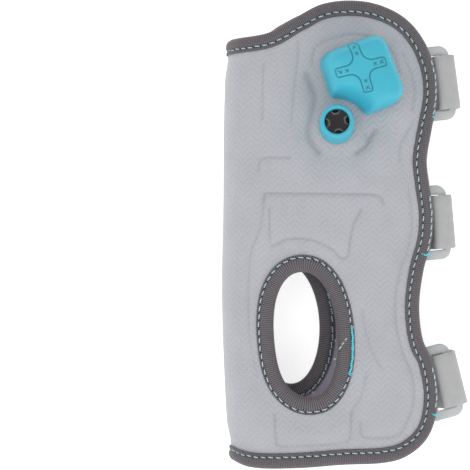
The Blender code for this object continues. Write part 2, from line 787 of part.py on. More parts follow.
def centre(pieces):
    """Parents the pieces to an empty that puts the origin at the middle of the underside."""
    corners = np.array([tuple(v.co) for piece in pieces for v in piece.data.vertices])
    low, high = corners.min(0), corners.max(0)
    frame = bpy.data.objects.new("splint_frame", None)
    bpy.context.scene.collection.objects.link(frame)
    frame.location = (-(low[0] + high[0]) / 2, -(low[1] + high[1]) / 2, -low[2])
    for piece in pieces:
        piece.parent = frame


def main():
    for old in list(bpy.data.objects):
        bpy.data.objects.remove(old)
    knit = painted("padded_knit", "B4B5BA", 0.85)
    lining = painted("lining_cloth", "8F8894", 0.8)
    tape = painted("binding_tape", "6E6C6F", 0.8)
    strap = painted("strap_webbing", "B4B5B5", 0.85)
    plastic = painted("ring_plastic", "C6CACA", 0.35)
    rubber = painted("pump_rubber", "4DB8CC", 0.45)
    black = painted("button_plastic", "1E1C1E", 0.4)
    pieces = [
        make_wrap(knit),
        make_lining(lining),
        make_binding("edge_binding", *CUT_LINES[0], tape),
        make_binding("front_thumb_binding", *CUT_LINES[1], tape),
        make_binding("back_thumb_binding", *CUT_LINES[2], tape),
        make_pump(rubber),
        make_valve(rubber),
        make_button(black),
    ]
    for name, along, turn, reach, tail in STRAPS:
        at = Station(along, turn, reach, tail)
        pieces.append(make_ring(f"{name}_ring", at, plastic))
        pieces.append(make_strap(f"{name}_strap", at, strap))
    centre(pieces)


main()
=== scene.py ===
# %% [markdown]
# # An inflatable wrist splint
# The real one is a padded knit wrap, bound with ribbed tape and folded into a flat sleeve. Air cells
# are welded into its padding and a rubber bulb pumps them up. This lesson dresses the plain solids of
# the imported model: the soft pieces are built over the same section as the solids, and the hard ones
# are modelled with Blender's own operators. The solids come first, as a fixed frame.

# %% The frame
import math

import bmesh
import bpy
import numpy as np
from mathutils import Matrix, Vector
from mathutils.geometry import delaunay_2d_cdt


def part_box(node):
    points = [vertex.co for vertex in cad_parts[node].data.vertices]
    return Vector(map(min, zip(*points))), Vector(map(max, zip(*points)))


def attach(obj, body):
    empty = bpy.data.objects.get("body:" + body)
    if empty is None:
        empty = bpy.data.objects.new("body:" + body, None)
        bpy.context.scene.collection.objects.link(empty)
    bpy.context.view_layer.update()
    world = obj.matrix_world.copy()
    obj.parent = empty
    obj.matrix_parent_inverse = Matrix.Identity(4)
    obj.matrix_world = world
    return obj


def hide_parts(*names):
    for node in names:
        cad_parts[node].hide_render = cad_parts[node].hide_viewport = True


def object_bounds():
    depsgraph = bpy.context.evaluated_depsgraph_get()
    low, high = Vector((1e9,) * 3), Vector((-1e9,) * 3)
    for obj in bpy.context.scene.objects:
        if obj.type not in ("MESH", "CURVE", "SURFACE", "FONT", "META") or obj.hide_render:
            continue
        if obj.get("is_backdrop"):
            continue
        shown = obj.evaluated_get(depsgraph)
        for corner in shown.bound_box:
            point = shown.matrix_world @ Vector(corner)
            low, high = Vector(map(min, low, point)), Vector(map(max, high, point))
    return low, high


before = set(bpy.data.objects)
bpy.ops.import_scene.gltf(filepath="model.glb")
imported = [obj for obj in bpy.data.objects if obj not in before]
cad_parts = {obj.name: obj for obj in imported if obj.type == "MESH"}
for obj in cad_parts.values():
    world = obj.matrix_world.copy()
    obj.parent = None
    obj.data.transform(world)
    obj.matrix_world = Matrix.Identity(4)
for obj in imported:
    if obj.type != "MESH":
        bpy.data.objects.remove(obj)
CAD_BOX = [[float(c) for c in corner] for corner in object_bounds()]
bpy.ops.object.select_all(action="DESELECT")
MM = 0.001
print("solids:", sorted(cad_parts))

# %% [markdown]
# ## The flat pattern
# The wrap is cut flat and then folded, so it is easiest to draw it flat too. A pattern point is (u, v):
# u is the way round the sleeve from its fold, v the place along the arm. One function bends the pattern
# round the sleeve's section, at any depth under its skin. The sizes repeat those of the solids, but the
# front thumb hole is a little longer and fuller than the solid's, and its tape wider, as in the photo.

# %% The sleeve's sizes
LENGTH = 221.0 * MM
WIDTH = 103.4 * MM
HEIGHT = 36 * MM
FOLD_SHIFT = 3.5 * MM
STRAP_LIFT = 2.2 * MM
GAP = 0.3 * MM
PUFF = 1.3 * MM
PUFF_RUN = 12 * MM
PAD_DEPTH = 3.8 * MM
LINING_TOP = 4.1 * MM
LINING_DEPTH = 4.8 * MM
TAPE_DEPTH = 5.8 * MM
TAPE_EDGE = 1.0 * MM
TAPE_COVER = 6.5 * MM
THUMB_COVER = 6.6 * MM
THUMB_WIDTH = 32.5 * MM
THUMB_LENGTH = 61 * MM
THUMB_ACROSS = 0.388
THUMB_ALONG = -0.216
THUMB_TURN = math.radians(6)
THUMB_BACK_RISE = 3.8 * MM
THUMB_BACK_SHIFT = 1.3 * MM
THUMB_BACK_TURN = math.radians(-4)
THUMB_FRONT_TURN = math.radians(-2.3)
THUMB_FRONT_SHIFT = -0.4 * MM
THUMB_FRONT_RISE = 0.3 * MM
THUMB_FRONT_LONGER = 0.6 * MM
THUMB_FRONT_SQUARE = 2.2
THUMB_FRONT_COVER = 7.2 * MM
THUMB_FULLER = 1.0 * MM
THUMB_FULLER_AT = math.radians(222)

SECTION = [
    # across, height, lift
    (1.02, 0.060, 1.0),
    (0.80, 0.018, 1.0),
    (0.56, 0.000, 1.0),
    (0.36, 0.000, 1.0),
    (0.23, 0.000, 0.2),
    (0.13, 0.020, 0.0),
    (0.035, 0.190, 0.0),
    (0.000, 0.460, 0.0),
    (0.040, 0.740, 0.0),
    (0.130, 0.905, 0.0),
    (0.300, 0.985, 0.0),
    (0.520, 1.000, 0.0),
    (0.760, 0.945, 0.0),
    (1.020, 0.800, 0.0),
]
STATIONS = [
    # along, inset of the fold, crown
    (-0.50, 0.036, 0.98),
    (-0.44, 0.028, 0.97),
    (-0.36, 0.016, 0.96),
    (-0.25, 0.005, 0.95),
    (-0.14, 0.000, 0.94),
    (0.07, 0.005, 0.95),
    (0.29, 0.011, 0.98),
    (0.50, 0.026, 1.00),
]
EDGE = [
    # across, along
    (0.000, 0.4235),
    (0.182, 0.430),
    (0.330, 0.465),
    (0.449, 0.492),
    (0.588, 0.500),
    (0.723, 0.491),
    (0.848, 0.463),
    (0.936, 0.416),
    (0.988, 0.353),
    (0.995, 0.293),
    (0.969, 0.227),
    (0.947, 0.162),
    (0.960, 0.107),
    (0.977, 0.048),
    (0.970, -0.012),
    (0.932, -0.078),
    (0.912, -0.154),
    (0.928, -0.226),
    (0.975, -0.276),
    (1.000, -0.344),
    (0.984, -0.404),
    (0.934, -0.447),
    (0.840, -0.477),
    (0.726, -0.488),
    (0.541, -0.4905),
    (0.356, -0.497),
    (0.182, -0.500),
    (0.081, -0.498),
    (0.000, -0.491),
]


# %% Curves
def hermite(x, xs, ys):
    """A smooth curve through the points (xs, ys), with xs rising, read at x."""
    x, xs, ys = np.asarray(x, float), np.asarray(xs, float), np.asarray(ys, float)
    slopes = np.gradient(ys, xs)
    i = np.clip(np.searchsorted(xs, x) - 1, 0, len(xs) - 2)
    span = xs[i + 1] - xs[i]
    t = np.clip((x - xs[i]) / span, 0, 1)
    return (
        (2 * t**3 - 3 * t**2 + 1) * ys[i]
        + (t**3 - 2 * t**2 + t) * span * slopes[i]
        + (3 * t**2 - 2 * t**3) * ys[i + 1]
        + (t**3 - t**2) * span * slopes[i + 1]
    )


def smooth_path(points, samples, closed=False):
    """A smooth curve through points, with samples between each two of them."""
    p = np.asarray(points, float)
    ends = (p[-1:], p[:2]) if closed else (2 * p[:1] - p[1:2], 2 * p[-1:] - p[-2:-1])
    q = np.concatenate([ends[0], p, ends[1]])
    made = []
    for a, b, c, d in zip(q[:-3], q[1:-2], q[2:-1], q[3:]):
        for t in np.arange(samples) / samples:
            square = (2 * a - 5 * b + 4 * c - d) * t**2
            made.append(0.5 * (2 * b + (c - a) * t + square + (3 * b - a - 3 * c + d) * t**3))
    if not closed:
        made.append(p[-1])
    return np.array(made)


def spaced(points, step, closed=True):
    """The same line with its points an even step apart."""
    p = np.concatenate([points, points[:1]]) if closed else np.asarray(points)
    way = np.concatenate([[0], np.cumsum(np.linalg.norm(np.diff(p, axis=0), axis=1))])
    count = max(3, round(way[-1] / step))
    at = np.linspace(0, way[-1], count + 1)
    if closed:
        at = at[:-1]
    return np.stack([np.interp(at, way, p[:, k]) for k in range(p.shape[1])], axis=1)


# %% The section, and the pattern laid round it
section = smooth_path(SECTION, 24)
section[:, 1:] = np.maximum(section[:, 1:], 0)
steps = np.hypot(np.diff(section[:, 0] * WIDTH), np.diff(section[:, 1] * HEIGHT + section[:, 2] * STRAP_LIFT))
fold_row = int(np.argmin(section[:, 0]))
round_way = np.concatenate([[0], np.cumsum(steps)])
round_way = round_way - round_way[fold_row]
slopes = [np.gradient(section[:, k], round_way) for k in range(3)]


def on_section(u, v):
    """x, z and the inward direction at pattern points."""
    table = np.array(STATIONS)
    inset = hermite(v / LENGTH, table[:, 0], table[:, 1]) * WIDTH
    crown = hermite(v / LENGTH, table[:, 0], table[:, 2]) * HEIGHT
    across, height, lift = (np.interp(u, round_way, section[:, k]) for k in range(3))
    d_across, d_height, d_lift = (np.interp(u, round_way, s) for s in slopes)
    tx = d_across * (WIDTH - inset)
    tz = d_height * crown + d_lift * STRAP_LIFT
    size = np.hypot(tx, tz)
    x = inset + across * (WIDTH - inset)
    return x, height * crown + lift * STRAP_LIFT, tz / size, -tx / size


ORIGIN = np.zeros(3)


def placed(u, v, depth):
    """Points of the splint for pattern points (u, v) at a depth under the skin."""
    u, v, depth = np.broadcast_arrays(*(np.asarray(k, float) for k in (u, v, depth)))
    x, z, nx, nz = on_section(u, v)
    return np.stack([x + depth * nx, v, z + depth * nz], axis=-1) + ORIGIN


def front_way(across):
    """The pattern's u for a place of the front panel, as a share of the width from the fold."""
    return np.interp(across, section[fold_row:, 0], round_way[fold_row:])


# %% The cut edges
def edge_loop():
    """The outline's line: the front panel's edge and its mirror round the fold."""
    rows = np.array(EDGE)
    front = np.stack([front_way(rows[:, 0]), rows[:, 1] * LENGTH], axis=1)
    front[[0, -1], 0] = FOLD_SHIFT
    back = front[-2:0:-1] * [-1, 1] + [2 * FOLD_SHIFT, 0]
    return smooth_path(np.concatenate([front, back]), 16, closed=True)


def thumb_loop(side):
    """A thumb hole's line, on the front panel (side 1) or on the back one (side -1)."""
    turn = np.linspace(0, 2 * math.pi, 240, endpoint=False)
    square = THUMB_FRONT_SQUARE if side > 0 else 2
    long = THUMB_LENGTH + (THUMB_FRONT_LONGER if side > 0 else 0)
    a, b = (np.sign(k) * np.abs(k) ** (2 / square) for k in (np.cos(turn), np.sin(turn)))
    a, b = a * THUMB_WIDTH / 2, b * long / 2
    if side > 0:
        fuller = np.exp(-(((turn - THUMB_FULLER_AT) / 0.5) ** 2))
        a, b = a - fuller * THUMB_FULLER, b - fuller * THUMB_FULLER / 4
    lean = THUMB_TURN + (THUMB_FRONT_TURN if side > 0 else THUMB_BACK_TURN)
    c, s = math.cos(lean), math.sin(lean)
    u = front_way(THUMB_ACROSS) + a * c - b * s
    v = THUMB_ALONG * LENGTH + a * s + b * c
    if side < 0:
        u, v = 2 * FOLD_SHIFT - u + THUMB_BACK_SHIFT, v + THUMB_BACK_RISE
    else:
        u, v = u + THUMB_FRONT_SHIFT, v + THUMB_FRONT_RISE
    return np.stack([u, v], axis=1)


def off_edge(loop, hole):
    """Unit directions in the pattern that point off the wall along a cut edge."""
    ahead = np.roll(loop, -1, axis=0) - np.roll(loop, 1, axis=0)
    normal = np.stack([ahead[:, 1], -ahead[:, 0]], axis=1)
    normal /= np.linalg.norm(normal, axis=1)[:, None]
    away = (normal * (loop - loop.mean(0))).sum() > 0
    return normal if away != hole else -normal


CUTS = {
    # name: loop, is it a hole, the tape's cover
    "edge": (edge_loop(), False, TAPE_COVER),
    "front_thumb": (thumb_loop(1), True, THUMB_FRONT_COVER),
    "back_thumb": (thumb_loop(-1), True, THUMB_COVER),
}
wrap_low = np.array(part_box("wrap")[0])
fold_at = on_section(np.zeros(400), np.linspace(-0.5, 0.5, 400) * LENGTH)[0].min()
ORIGIN = np.array([wrap_low[0] - fold_at, 0.0, 0.0])
print("the fold is at", np.round(wrap_low[0] / MM, 2), "mm")


# %% [markdown]
# ## How far a point lies from a line
# The padding is drawn in where it is bound, and the welded lines between the air cells are grooves.
# Both need the distance from each point of the pattern to a line, so this helper measures it.


# %% Distances
def distance_to(line, points, closed=False):
    """How far points lie from a line."""
    a = line if closed else line[:-1]
    ab = (np.roll(line, -1, axis=0) if closed else line[1:]) - a
    found = np.empty(len(points))
    for start in range(0, len(points), 2000):
        part = points[start : start + 2000]
        ap = part[None] - a[:, None]
        t = np.clip((ap * ab[:, None]).sum(2) / (ab**2).sum(1)[:, None], 0, 1)
        found[start : start + 2000] = np.linalg.norm(ap - t[..., None] * ab[:, None], axis=2).min(0)
    return found


def is_inside(line, points):
    """Whether points lie inside a closed line."""
    a, b = line[:, None], np.roll(line, -1, axis=0)[:, None]
    y = points[None, :, 1]
    crosses = (a[..., 1] > y) != (b[..., 1] > y)
    rise = np.where(a[..., 1] == b[..., 1], 1, b[..., 1] - a[..., 1])
    at = a[..., 0] + (y - a[..., 1]) * (b[..., 0] - a[..., 0]) / rise
    return (crosses & (at > points[None, :, 0])).sum(0) % 2 == 1


def wall_distance(points, covered=False):
    """How far inside the wall points lie, or inside its tapes."""
    found = np.full(len(points), np.inf)
    for loop, hole, cover in CUTS.values():
        coarse = spaced(loop, 2.5 * MM)
        far = distance_to(coarse, points, closed=True)
        signed = np.where(is_inside(coarse, points) != hole, far, -far)
        found = np.minimum(found, signed - (cover + GAP if covered else 0))
    return found


# %% [markdown]
# ## Materials
# Each material is a small tree of nodes. One function adds a node with its settings and links, and one
# turns a colour as a designer writes it, in sRGB hex, into the linear values that Blender works with.


# %% Nodes and colours
def linear(hex_colour):
    srgb = [int(hex_colour[k : k + 2], 16) / 255 for k in (0, 2, 4)]
    return [((c + 0.055) / 1.055) ** 2.4 if c > 0.04 else c / 12.92 for c in srgb] + [1.0]


def feed(tree, made, inputs):
    """Sets a node's inputs, each to a value, to a node's first output, or to (node, output)."""
    for name, value in inputs.items():
        source = value if isinstance(value, tuple) else (value, 0)
        if isinstance(source[0], bpy.types.Node):
            tree.links.new(source[0].outputs[source[1]], made.inputs[name])
        else:
            made.inputs[name].default_value = value


def node(tree, kind, inputs, **settings):
    """Adds a node with its settings and links."""
    made = tree.nodes.new("ShaderNode" + kind)
    for name, value in settings.items():
        setattr(made, name, value)
    feed(tree, made, inputs)
    return made


def material(name, colour, roughness, **sockets):
    """A new material with its shader's plain values. Returns it, its tree and its shader."""
    made = bpy.data.materials.new(name)
    made.use_nodes = True
    shader = made.node_tree.nodes["Principled BSDF"]
    shader.inputs["Base Color"].default_value = linear(colour)
    shader.inputs["Roughness"].default_value = roughness
    for socket, value in sockets.items():
        shader.inputs[socket.replace("_", " ")].default_value = value
    return made, made.node_tree, shader


# A Mix node for colours takes its factor and its two colours at these sockets, and gives MIXED.
FACTOR, FIRST, SECOND, MIXED = 0, 6, 7, 2
FULL_TURN = 2 * math.pi


def blend(tree, factor, first, second):
    """A colour between two colours, each a hex colour or (node, output)."""
    first, second = (linear(k) if isinstance(k, str) else k for k in (first, second))
    return node(tree, "Mix", {FACTOR: factor, FIRST: first, SECOND: second}, data_type="RGBA"), MIXED


def waves(tree, place, pitch):
    """A sine along a place in millimetres."""
    turned = node(tree, "Math", {0: place, 1: FULL_TURN / pitch}, operation="MULTIPLY")
    return node(tree, "Math", {0: turned}, operation="SINE")


def relief(tree, height, distance, strength):
    return node(tree, "Bump", {"Height": height, "Distance": distance, "Strength": strength})


UV_PER_METRE = 10
MM_PER_UV = 1000.0 / UV_PER_METRE


def flat_pattern(tree):
    """The piece's flat pattern in millimetres, from its UV map, split in X and Y and whole."""
    uv = node(tree, "UVMap", {}, uv_map="flat")
    grown = node(tree, "VectorMath", {0: uv, "Scale": MM_PER_UV}, operation="SCALE")
    return node(tree, "SeparateXYZ", {0: grown}), grown


# %% [markdown]
# ## The knit
# The wrap's face is a brushed polyester knit with a herringbone rib, in a cool light grey. The rib's
# zigzag is 7.4 mm wide and its strokes are 2.9 mm apart. It is soft and matt, and loose fibres at its
# surface catch the light at a flat angle, which is what sheen is for. The zigzag is a triangle wave
# added to a straight wave, both on the flat pattern, so it runs round the fold without a break. Brushing
# has blurred it in places, so a broad noise fades it, and a fine one gives the fluff.

# %% The brushed knit
ZIGZAG = 7.4
STROKE = 2.9
knit, tree, shader = material(
    "brushed_herringbone_knit", "BCBDC2", 0.92, Sheen_Weight=0.25, Sheen_Roughness=0.5
)
split, flat_mm = flat_pattern(tree)
zigzag = node(tree, "Math", {0: (split, "X"), 1: ZIGZAG / 2}, operation="PINGPONG")
slant = node(tree, "Math", {0: (split, "Y"), 1: zigzag}, operation="ADD")
fluff, faded, cloud = (
    node(tree, "TexNoise", {"Vector": flat_mm, "Scale": scale, "Detail": detail})
    for scale, detail in ((1.3, 5.0), (0.22, 3.0), (0.05, 2.0))
)
stroke = node(tree, "Math", {0: waves(tree, slant, STROKE), 1: faded}, operation="MULTIPLY")
height = node(tree, "Math", {0: stroke, 1: 0.52, 2: fluff}, operation="MULTIPLY_ADD")
tone = node(tree, "Math", {0: fluff, 1: 0.8, 2: -0.12}, operation="MULTIPLY_ADD")
for made, share in ((cloud, 0.45), (stroke, 0.14)):
    tone = node(tree, "Math", {0: made, 1: share, 2: tone}, operation="MULTIPLY_ADD")
# Painted shade: the knit is darkened towards 8A8D95 in its grooves and creases.
groove_shade = node(tree, "Attribute", {}, attribute_name="groove_shade")
groove_shaded = blend(tree, (groove_shade, "Fac"), blend(tree, tone, "A6A8AE", "C8C8CD"), "8A8D95")
feed(tree, shader, {"Base Color": groove_shaded, "Normal": relief(tree, height, 0.30 * MM, 0.8)})
print("knit: zigzag", ZIGZAG, "mm, strokes", STROKE, "mm apart")

# %% [markdown]
# ## The lining, the tape and the webbing
# The lining is a smooth mauve-grey tricot printed with a common dot pattern. The tape is grosgrain: a
# close warp over thick wefts, so it is closely ribbed across. The webbing is a fine flat polyester. All
# three take their pattern from the flat UV map, in millimetres.

# %% Dotted tricot
DOT_SPACING = 3.1
DOT_EDGE = (0.22, 0.26)
TRICOT_PITCH = 0.9
lining_cloth, tree, shader = material("dotted_tricot", "8A8390", 0.75, Sheen_Weight=0.2)
split, flat_mm = flat_pattern(tree)
dots = node(tree, "TexVoronoi", {"Vector": flat_mm, "Scale": 1 / DOT_SPACING, "Randomness": 0.75})
in_dot = node(tree, "MapRange", {0: dots, 1: DOT_EDGE[0], 2: DOT_EDGE[1], 3: 1.0, 4: 0.0})
rows = waves(tree, (split, "Y"), TRICOT_PITCH)
printed = blend(tree, in_dot, "A39CAA", "F4F2F6")
feed(tree, shader, {"Base Color": printed, "Normal": relief(tree, rows, 0.05 * MM, 0.5)})

# %% Grosgrain
RIB_PITCH = 0.86
WARP_PITCH = 0.35
grosgrain, tree, shader = material("ribbed_grosgrain", "6E6B6E", 0.72, Sheen_Weight=0.15)
rib_shade, seam = (node(tree, "Attribute", {}, attribute_name=name) for name in ("rib_shade", "seam"))
split, flat_mm = flat_pattern(tree)
mottle = node(tree, "TexNoise", {"Vector": flat_mm, "Scale": 0.35, "Detail": 3.0})
# Painted shade: the tape is darker in its rib valleys, and on its edges and seam where it ribs less. The
# mottle is the tape's own uneven tone.
mottle_and_rib_shade = node(tree, "Math", {0: mottle, 1: 0.25, 2: (rib_shade, "Fac")}, operation="MULTIPLY_ADD")
# Painted shadow: the seam groove is coloured a dark teal, 20313A.
seam_shaded = blend(tree, (seam, "Fac"), blend(tree, mottle_and_rib_shade, "0E0D11", "787277"), "20313A")
warp = waves(tree, (split, "Y"), WARP_PITCH)
feed(tree, shader, {"Base Color": seam_shaded, "Normal": relief(tree, warp, 0.03 * MM, 0.4)})

# %% Flat webbing
WEBBING_PITCH = 0.8
webbing, tree, shader = material("flat_polyester_webbing", "BEBFBF", 0.85, Sheen_Weight=0.2)
split, flat_mm = flat_pattern(tree)
across, along = (waves(tree, (split, way), WEBBING_PITCH) for way in ("X", "Y"))
weave = node(tree, "Math", {0: across, 1: along}, operation="MULTIPLY")
haze = node(tree, "TexNoise", {"Vector": flat_mm, "Scale": 0.25, "Detail": 5.0})
hazed = blend(tree, haze, "AEAFAF", "BEBFBE")
feed(tree, shader, {"Base Color": hazed, "Normal": relief(tree, weave, 0.06 * MM, 0.5)})

# %% [markdown]
# ## Thread, rubber and plastic
# The seams are sewn in bonded nylon: most of it a pale turquoise, and bright where it is knotted off.
# The bulb and the valve are moulded silicone rubber with a satin skin, the rings frosted polypropylene,
# which lets some light through, and the valve's button is black ABS, with a painted highlight at its flutes.

# %% Moulded and spun materials
thread, _, _ = material("bonded_nylon_thread", "C2DCE0", 0.5, Sheen_Weight=0.2)
thread_bright, _, _ = material("bright_nylon_thread", "62DCEC", 0.45, Sheen_Weight=0.2)
silicone, silicone_tree, silicone_shader = material(
    "moulded_silicone", "42B4CB", 0.45, Specular_IOR_Level=0.4
)
frosted, frosted_tree, frosted_shader = material(
    "frosted_polypropylene", "D3D7D8", 0.38, Transmission_Weight=0.35, IOR=1.49
)
black_abs, abs_tree, abs_shader = material("black_abs", "1C1214", 0.28)
MOULDED_SKINS = [
    # tree, shader, the skin's grain (a noise scale, so 1000 is a millimetre), detail, depth, strength
    (silicone_tree, silicone_shader, 900.0, 2.0, 0.03 * MM, 0.5),
    (frosted_tree, frosted_shader, 350.0, 3.0, 0.04 * MM, 0.4),
    (abs_tree, abs_shader, 2500.0, 2.0, 0.02 * MM, 0.4),
]
for tree, shader, scale, detail, depth, strength in MOULDED_SKINS:
    spot = node(tree, "TexCoord", {})
    grain = node(tree, "TexNoise", {"Vector": (spot, "Object"), "Scale": scale, "Detail": detail})
    feed(tree, shader, {"Normal": relief(tree, grain, depth, strength)})

spot = node(silicone_tree, "TexCoord", {})
broad = node(silicone_tree, "TexNoise", {"Vector": (spot, "Object"), "Scale": 60.0, "Detail": 2.0})
# Painted shade: the bulb's engraved lines are darkened to 13606F.
cut = node(silicone_tree, "Attribute", {}, attribute_name="groove_shade")
body = blend(silicone_tree, broad, "3CB2CB", "4BC0D6")
engraving_shaded = blend(silicone_tree, (cut, "Fac"), body, "13606F")
feed(silicone_tree, silicone_shader, {"Base Color": engraving_shaded})
# Painted highlight: the button's flute edges are coloured a light grey, 6F7674.
painted_glint = node(abs_tree, "Attribute", {}, attribute_name="painted_glint")
feed(abs_tree, abs_shader, {"Base Color": blend(abs_tree, (painted_glint, "Fac"), "1C1214", "6F7674")})
print("materials:", len(bpy.data.materials))


# %% [markdown]
# ## Finishing a piece
# A soft piece is made as a mesh from its points and faces, with its flat pattern as a UV map. Then it
# rides on the splint's body and stands for its solid, which is hidden.


# %% Making and finishing
def made_mesh(name, mesh, paint):
    """An object from a bmesh."""
    bmesh.ops.recalc_face_normals(mesh, faces=mesh.faces)
    data = bpy.data.meshes.new(name)
    mesh.to_mesh(data)
    mesh.free()
    made = bpy.data.objects.new(name, data)
    bpy.context.scene.collection.objects.link(made)
    data.materials.append(paint)
    data.shade_smooth()
    return made


def finish_piece(piece, nodes=(), body="splint"):
    """Gives a piece its body and the solids that it stands for."""
    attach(piece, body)
    if nodes:
        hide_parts(*nodes)
    print(piece.name, len(piece.data.vertices), "points")
    return piece


def face_between(mesh, rings, closed=True, uvs=None):
    """Quads between rings of points. uvs holds each ring's UV points, one more than its points."""
    layer = mesh.loops.layers.uv.get("flat") or mesh.loops.layers.uv.new("flat") if uvs is not None else None
    pairs = len(rings) if closed else len(rings) - 1
    for n in range(pairs):
        a, b = rings[n], rings[(n + 1) % len(rings)]
        for k in range(len(a)):
            m = (k + 1) % len(a)
            face = mesh.faces.new([a[k], a[m], b[m], b[k]])
            if layer is not None:
                for loop, (row, col) in zip(face.loops, ((n, k), (n, k + 1), (n + 1, k + 1), (n + 1, k))):
                    loop[layer].uv = uvs(row, col)


# %% [markdown]
# ## The welded lines
# Where the two skins of an air cell are welded, the knit shows a fine groove. Each line here is a few
# points in millimetres, across from the fold and along the arm, joined by a smooth curve. The deeper
# creases beside the pump and the valve are where the stiff rubber draws the knit in. Grooves and
# creases both take painted shade in the knit's colour.

# %% Grooves and creases
WELDS = [
    # depth, width, then points (across, along) in mm
    (0.32, 0.55, [(18.5, 80.5), (18.5, 68.5), (18.5, 55.0)]),
    (0.34, 0.6, [(35.0, 92.0), (35.0, 82.5), (34.0, 73.0), (32.5, 54.0)]),
    (0.34, 0.6, [(17.0, 31.0), (17.6, 35.5), (20.5, 37.0), (26.0, 37.0), (32.0, 37.0)]),
    (0.45, 0.55, [
        (19.5, 17.0), (20.3, 19.7), (23.0, 20.0), (56.0, 19.7), (70.5, 19.5), (75.0, 18.5),
        (77.0, 15.5),
    ]),
    (0.30, 0.6, [
        (20.2, 19.0), (19.6, 15.0), (18.9, 8.6), (18.0, 3.2), (16.2, -1.6), (13.6, -9.6),
        (12.4, -30.5), (13.0, -49.5), (16.0, -67.5),
    ]),
    (0.36, 0.5, [(22.3, 13.0), (22.5, 4.5), (22.8, -2.4)]),
    (0.45, 0.55, [
        (24.0, -5.0), (30.0, -2.3), (36.0, -1.5), (43.5, -2.5), (48.5, -4.6), (53.5, -7.5),
        (56.0, -10.3), (58.6, -11.2), (60.2, -9.0), (61.0, -3.5), (62.5, 5.0), (65.0, 9.5),
        (66.4, 12.6),
    ]),
    (0.40, 0.7, [
        (90.0, 21.0), (91.5, 11.0), (91.3, 2.5), (89.0, -8.5), (86.3, -15.5), (83.5, -27.5),
        (83.2, -38.5), (84.8, -48.5), (87.5, -57.5), (90.7, -65.0), (92.2, -72.0), (91.6, -81.0),
        (88.7, -88.5), (85.2, -94.0), (80.0, -96.3), (69.0, -96.2), (65.6, -94.5), (65.0, -89.5),
    ]),
    (0.28, 0.7, [(67.0, -35.5), (68.0, -43.5), (69.8, -50.0), (72.5, -57.5), (76.0, -63.0)]),
    (0.45, 0.6, [
        (23.5, -86.5), (23.4, -97.0), (25.5, -100.3), (39.5, -100.0), (56.5, -98.7), (59.7, -96.5),
        (60.5, -90.0), (60.8, -84.0),
    ]),
    (0.36, 0.7, [(92.0, 54.5), (88.0, 48.0), (85.4, 43.0), (85.0, 36.0)]),
    (0.36, 0.7, [(42.0, 81.5), (43.2, 88.0), (47.5, 91.5), (54.0, 93.7), (62.0, 95.2), (70.0, 94.0)]),
    (0.34, 0.7, [(76.5, 91.5), (81.5, 85.5), (84.6, 77.5)]),
    (0.34, 0.8, [(86.0, 87.0), (90.6, 77.0), (92.2, 68.5), (91.3, 59.5)]),
    (0.75, 1.5, [
        (39.5, 76.0), (42.5, 69.0), (43.6, 64.5), (42.0, 56.0), (40.6, 49.5), (42.0, 44.5),
        (46.0, 39.0),
    ]),
    (0.70, 1.1, [(72.7, 49.6), (70.0, 45.6), (68.4, 42.5), (63.7, 38.9)]),
    (0.45, 0.9, [(70.0, 45.6), (68.0, 47.6)]),
    (0.30, 0.8, [(60.8, -84.0), (66.0, -76.0), (68.5, -66.0)]),
]
HOLLOWS = [
    # middle across and along, half long, half wide, turn in degrees, depth: all lengths in mm
    (40.5, 45.0, 13.0, 6.0, 8, 0.9),
    (66.5, 43.0, 10.0, 4.5, -38, 1.0),
    (53.0, 38.0, 9.0, 4.0, 90, 0.6),
    (89.0, 72.0, 18.0, 3.5, 10, 0.5),
    (42.0, 68.0, 8.0, 3.0, -15, 0.5),
]


def pattern_line(points):
    rows = np.array(points, float) * MM
    return np.stack([front_way(rows[:, 0] / WIDTH), rows[:, 1]], axis=1)


WELD_LINES = [
    (deep * MM, wide * MM, spaced(smooth_path(pattern_line(rows), 8), 1.2 * MM, closed=False))
    for deep, wide, rows in WELDS
]
print("welded lines:", len(WELD_LINES), "with", sum(len(line) for _, _, line in WELD_LINES), "points")


def skin_depth(points):
    """The skin's depth, and how much painted shade each point takes in a groove or crease."""
    inside = wall_distance(points, covered=True)
    t = np.clip(inside / PUFF_RUN, 0, 1)
    depth = PUFF * (1 - t * t * (3 - 2 * t))
    pucker = np.sin(points[:, 0] / MM * 0.83 + np.sin(points[:, 1] / MM * 0.31) * 1.7)
    pucker = pucker * np.sin(points[:, 1] / MM * 0.71 + 1.3)
    depth += 0.16 * MM * pucker * np.exp(-((inside / (5 * MM)) ** 2))
    slow = np.sin(points[:, 0] / MM * 0.11 + 0.7) * np.sin(points[:, 1] / MM * 0.083 + 0.4)
    depth += 0.12 * MM * (slow + 1) * t
    shade_share = np.zeros(len(points))
    for middle_a, middle_b, long, wide, turn, deep in HOLLOWS:
        off = points - [float(front_way(middle_a * MM / WIDTH)), middle_b * MM]
        way = np.array([-math.sin(math.radians(turn)), math.cos(math.radians(turn))])
        a, b = off @ way / (long * MM), off @ [way[1], -way[0]] / (wide * MM)
        depth += deep * MM * np.exp(-(a**2)) * np.exp(-(b**2)) * t
    for deep, wide, line in WELD_LINES:
        near = np.linalg.norm(points - line.mean(0), axis=1) < 90 * MM
        far = np.full(len(points), 1.0)
        far[near] = distance_to(line, points[near])
        groove = np.exp(-((far / wide) ** 2))
        depth += (deep * groove + 0.35 * deep * np.exp(-((far / (4.5 * wide)) ** 2))) * np.clip(t * 3, 0, 1)
        # How much painted shade the knit takes in this groove or crease.
        shade_share = np.maximum(shade_share, groove * np.clip(deep / MM * 0.75, 0, 0.5))
    return depth, shade_share * np.clip(t * 3, 0, 1)


# %% [markdown]
# ## The padded wrap
# The wrap is one closed mesh: a fine outer skin that carries the grooves, and a plain inner face that
# the lining hides. The skin's points are an even grid, with rows of extra points along each groove, and
# a Delaunay triangulation joins them. Points on both sides of a groove keep it sharp.


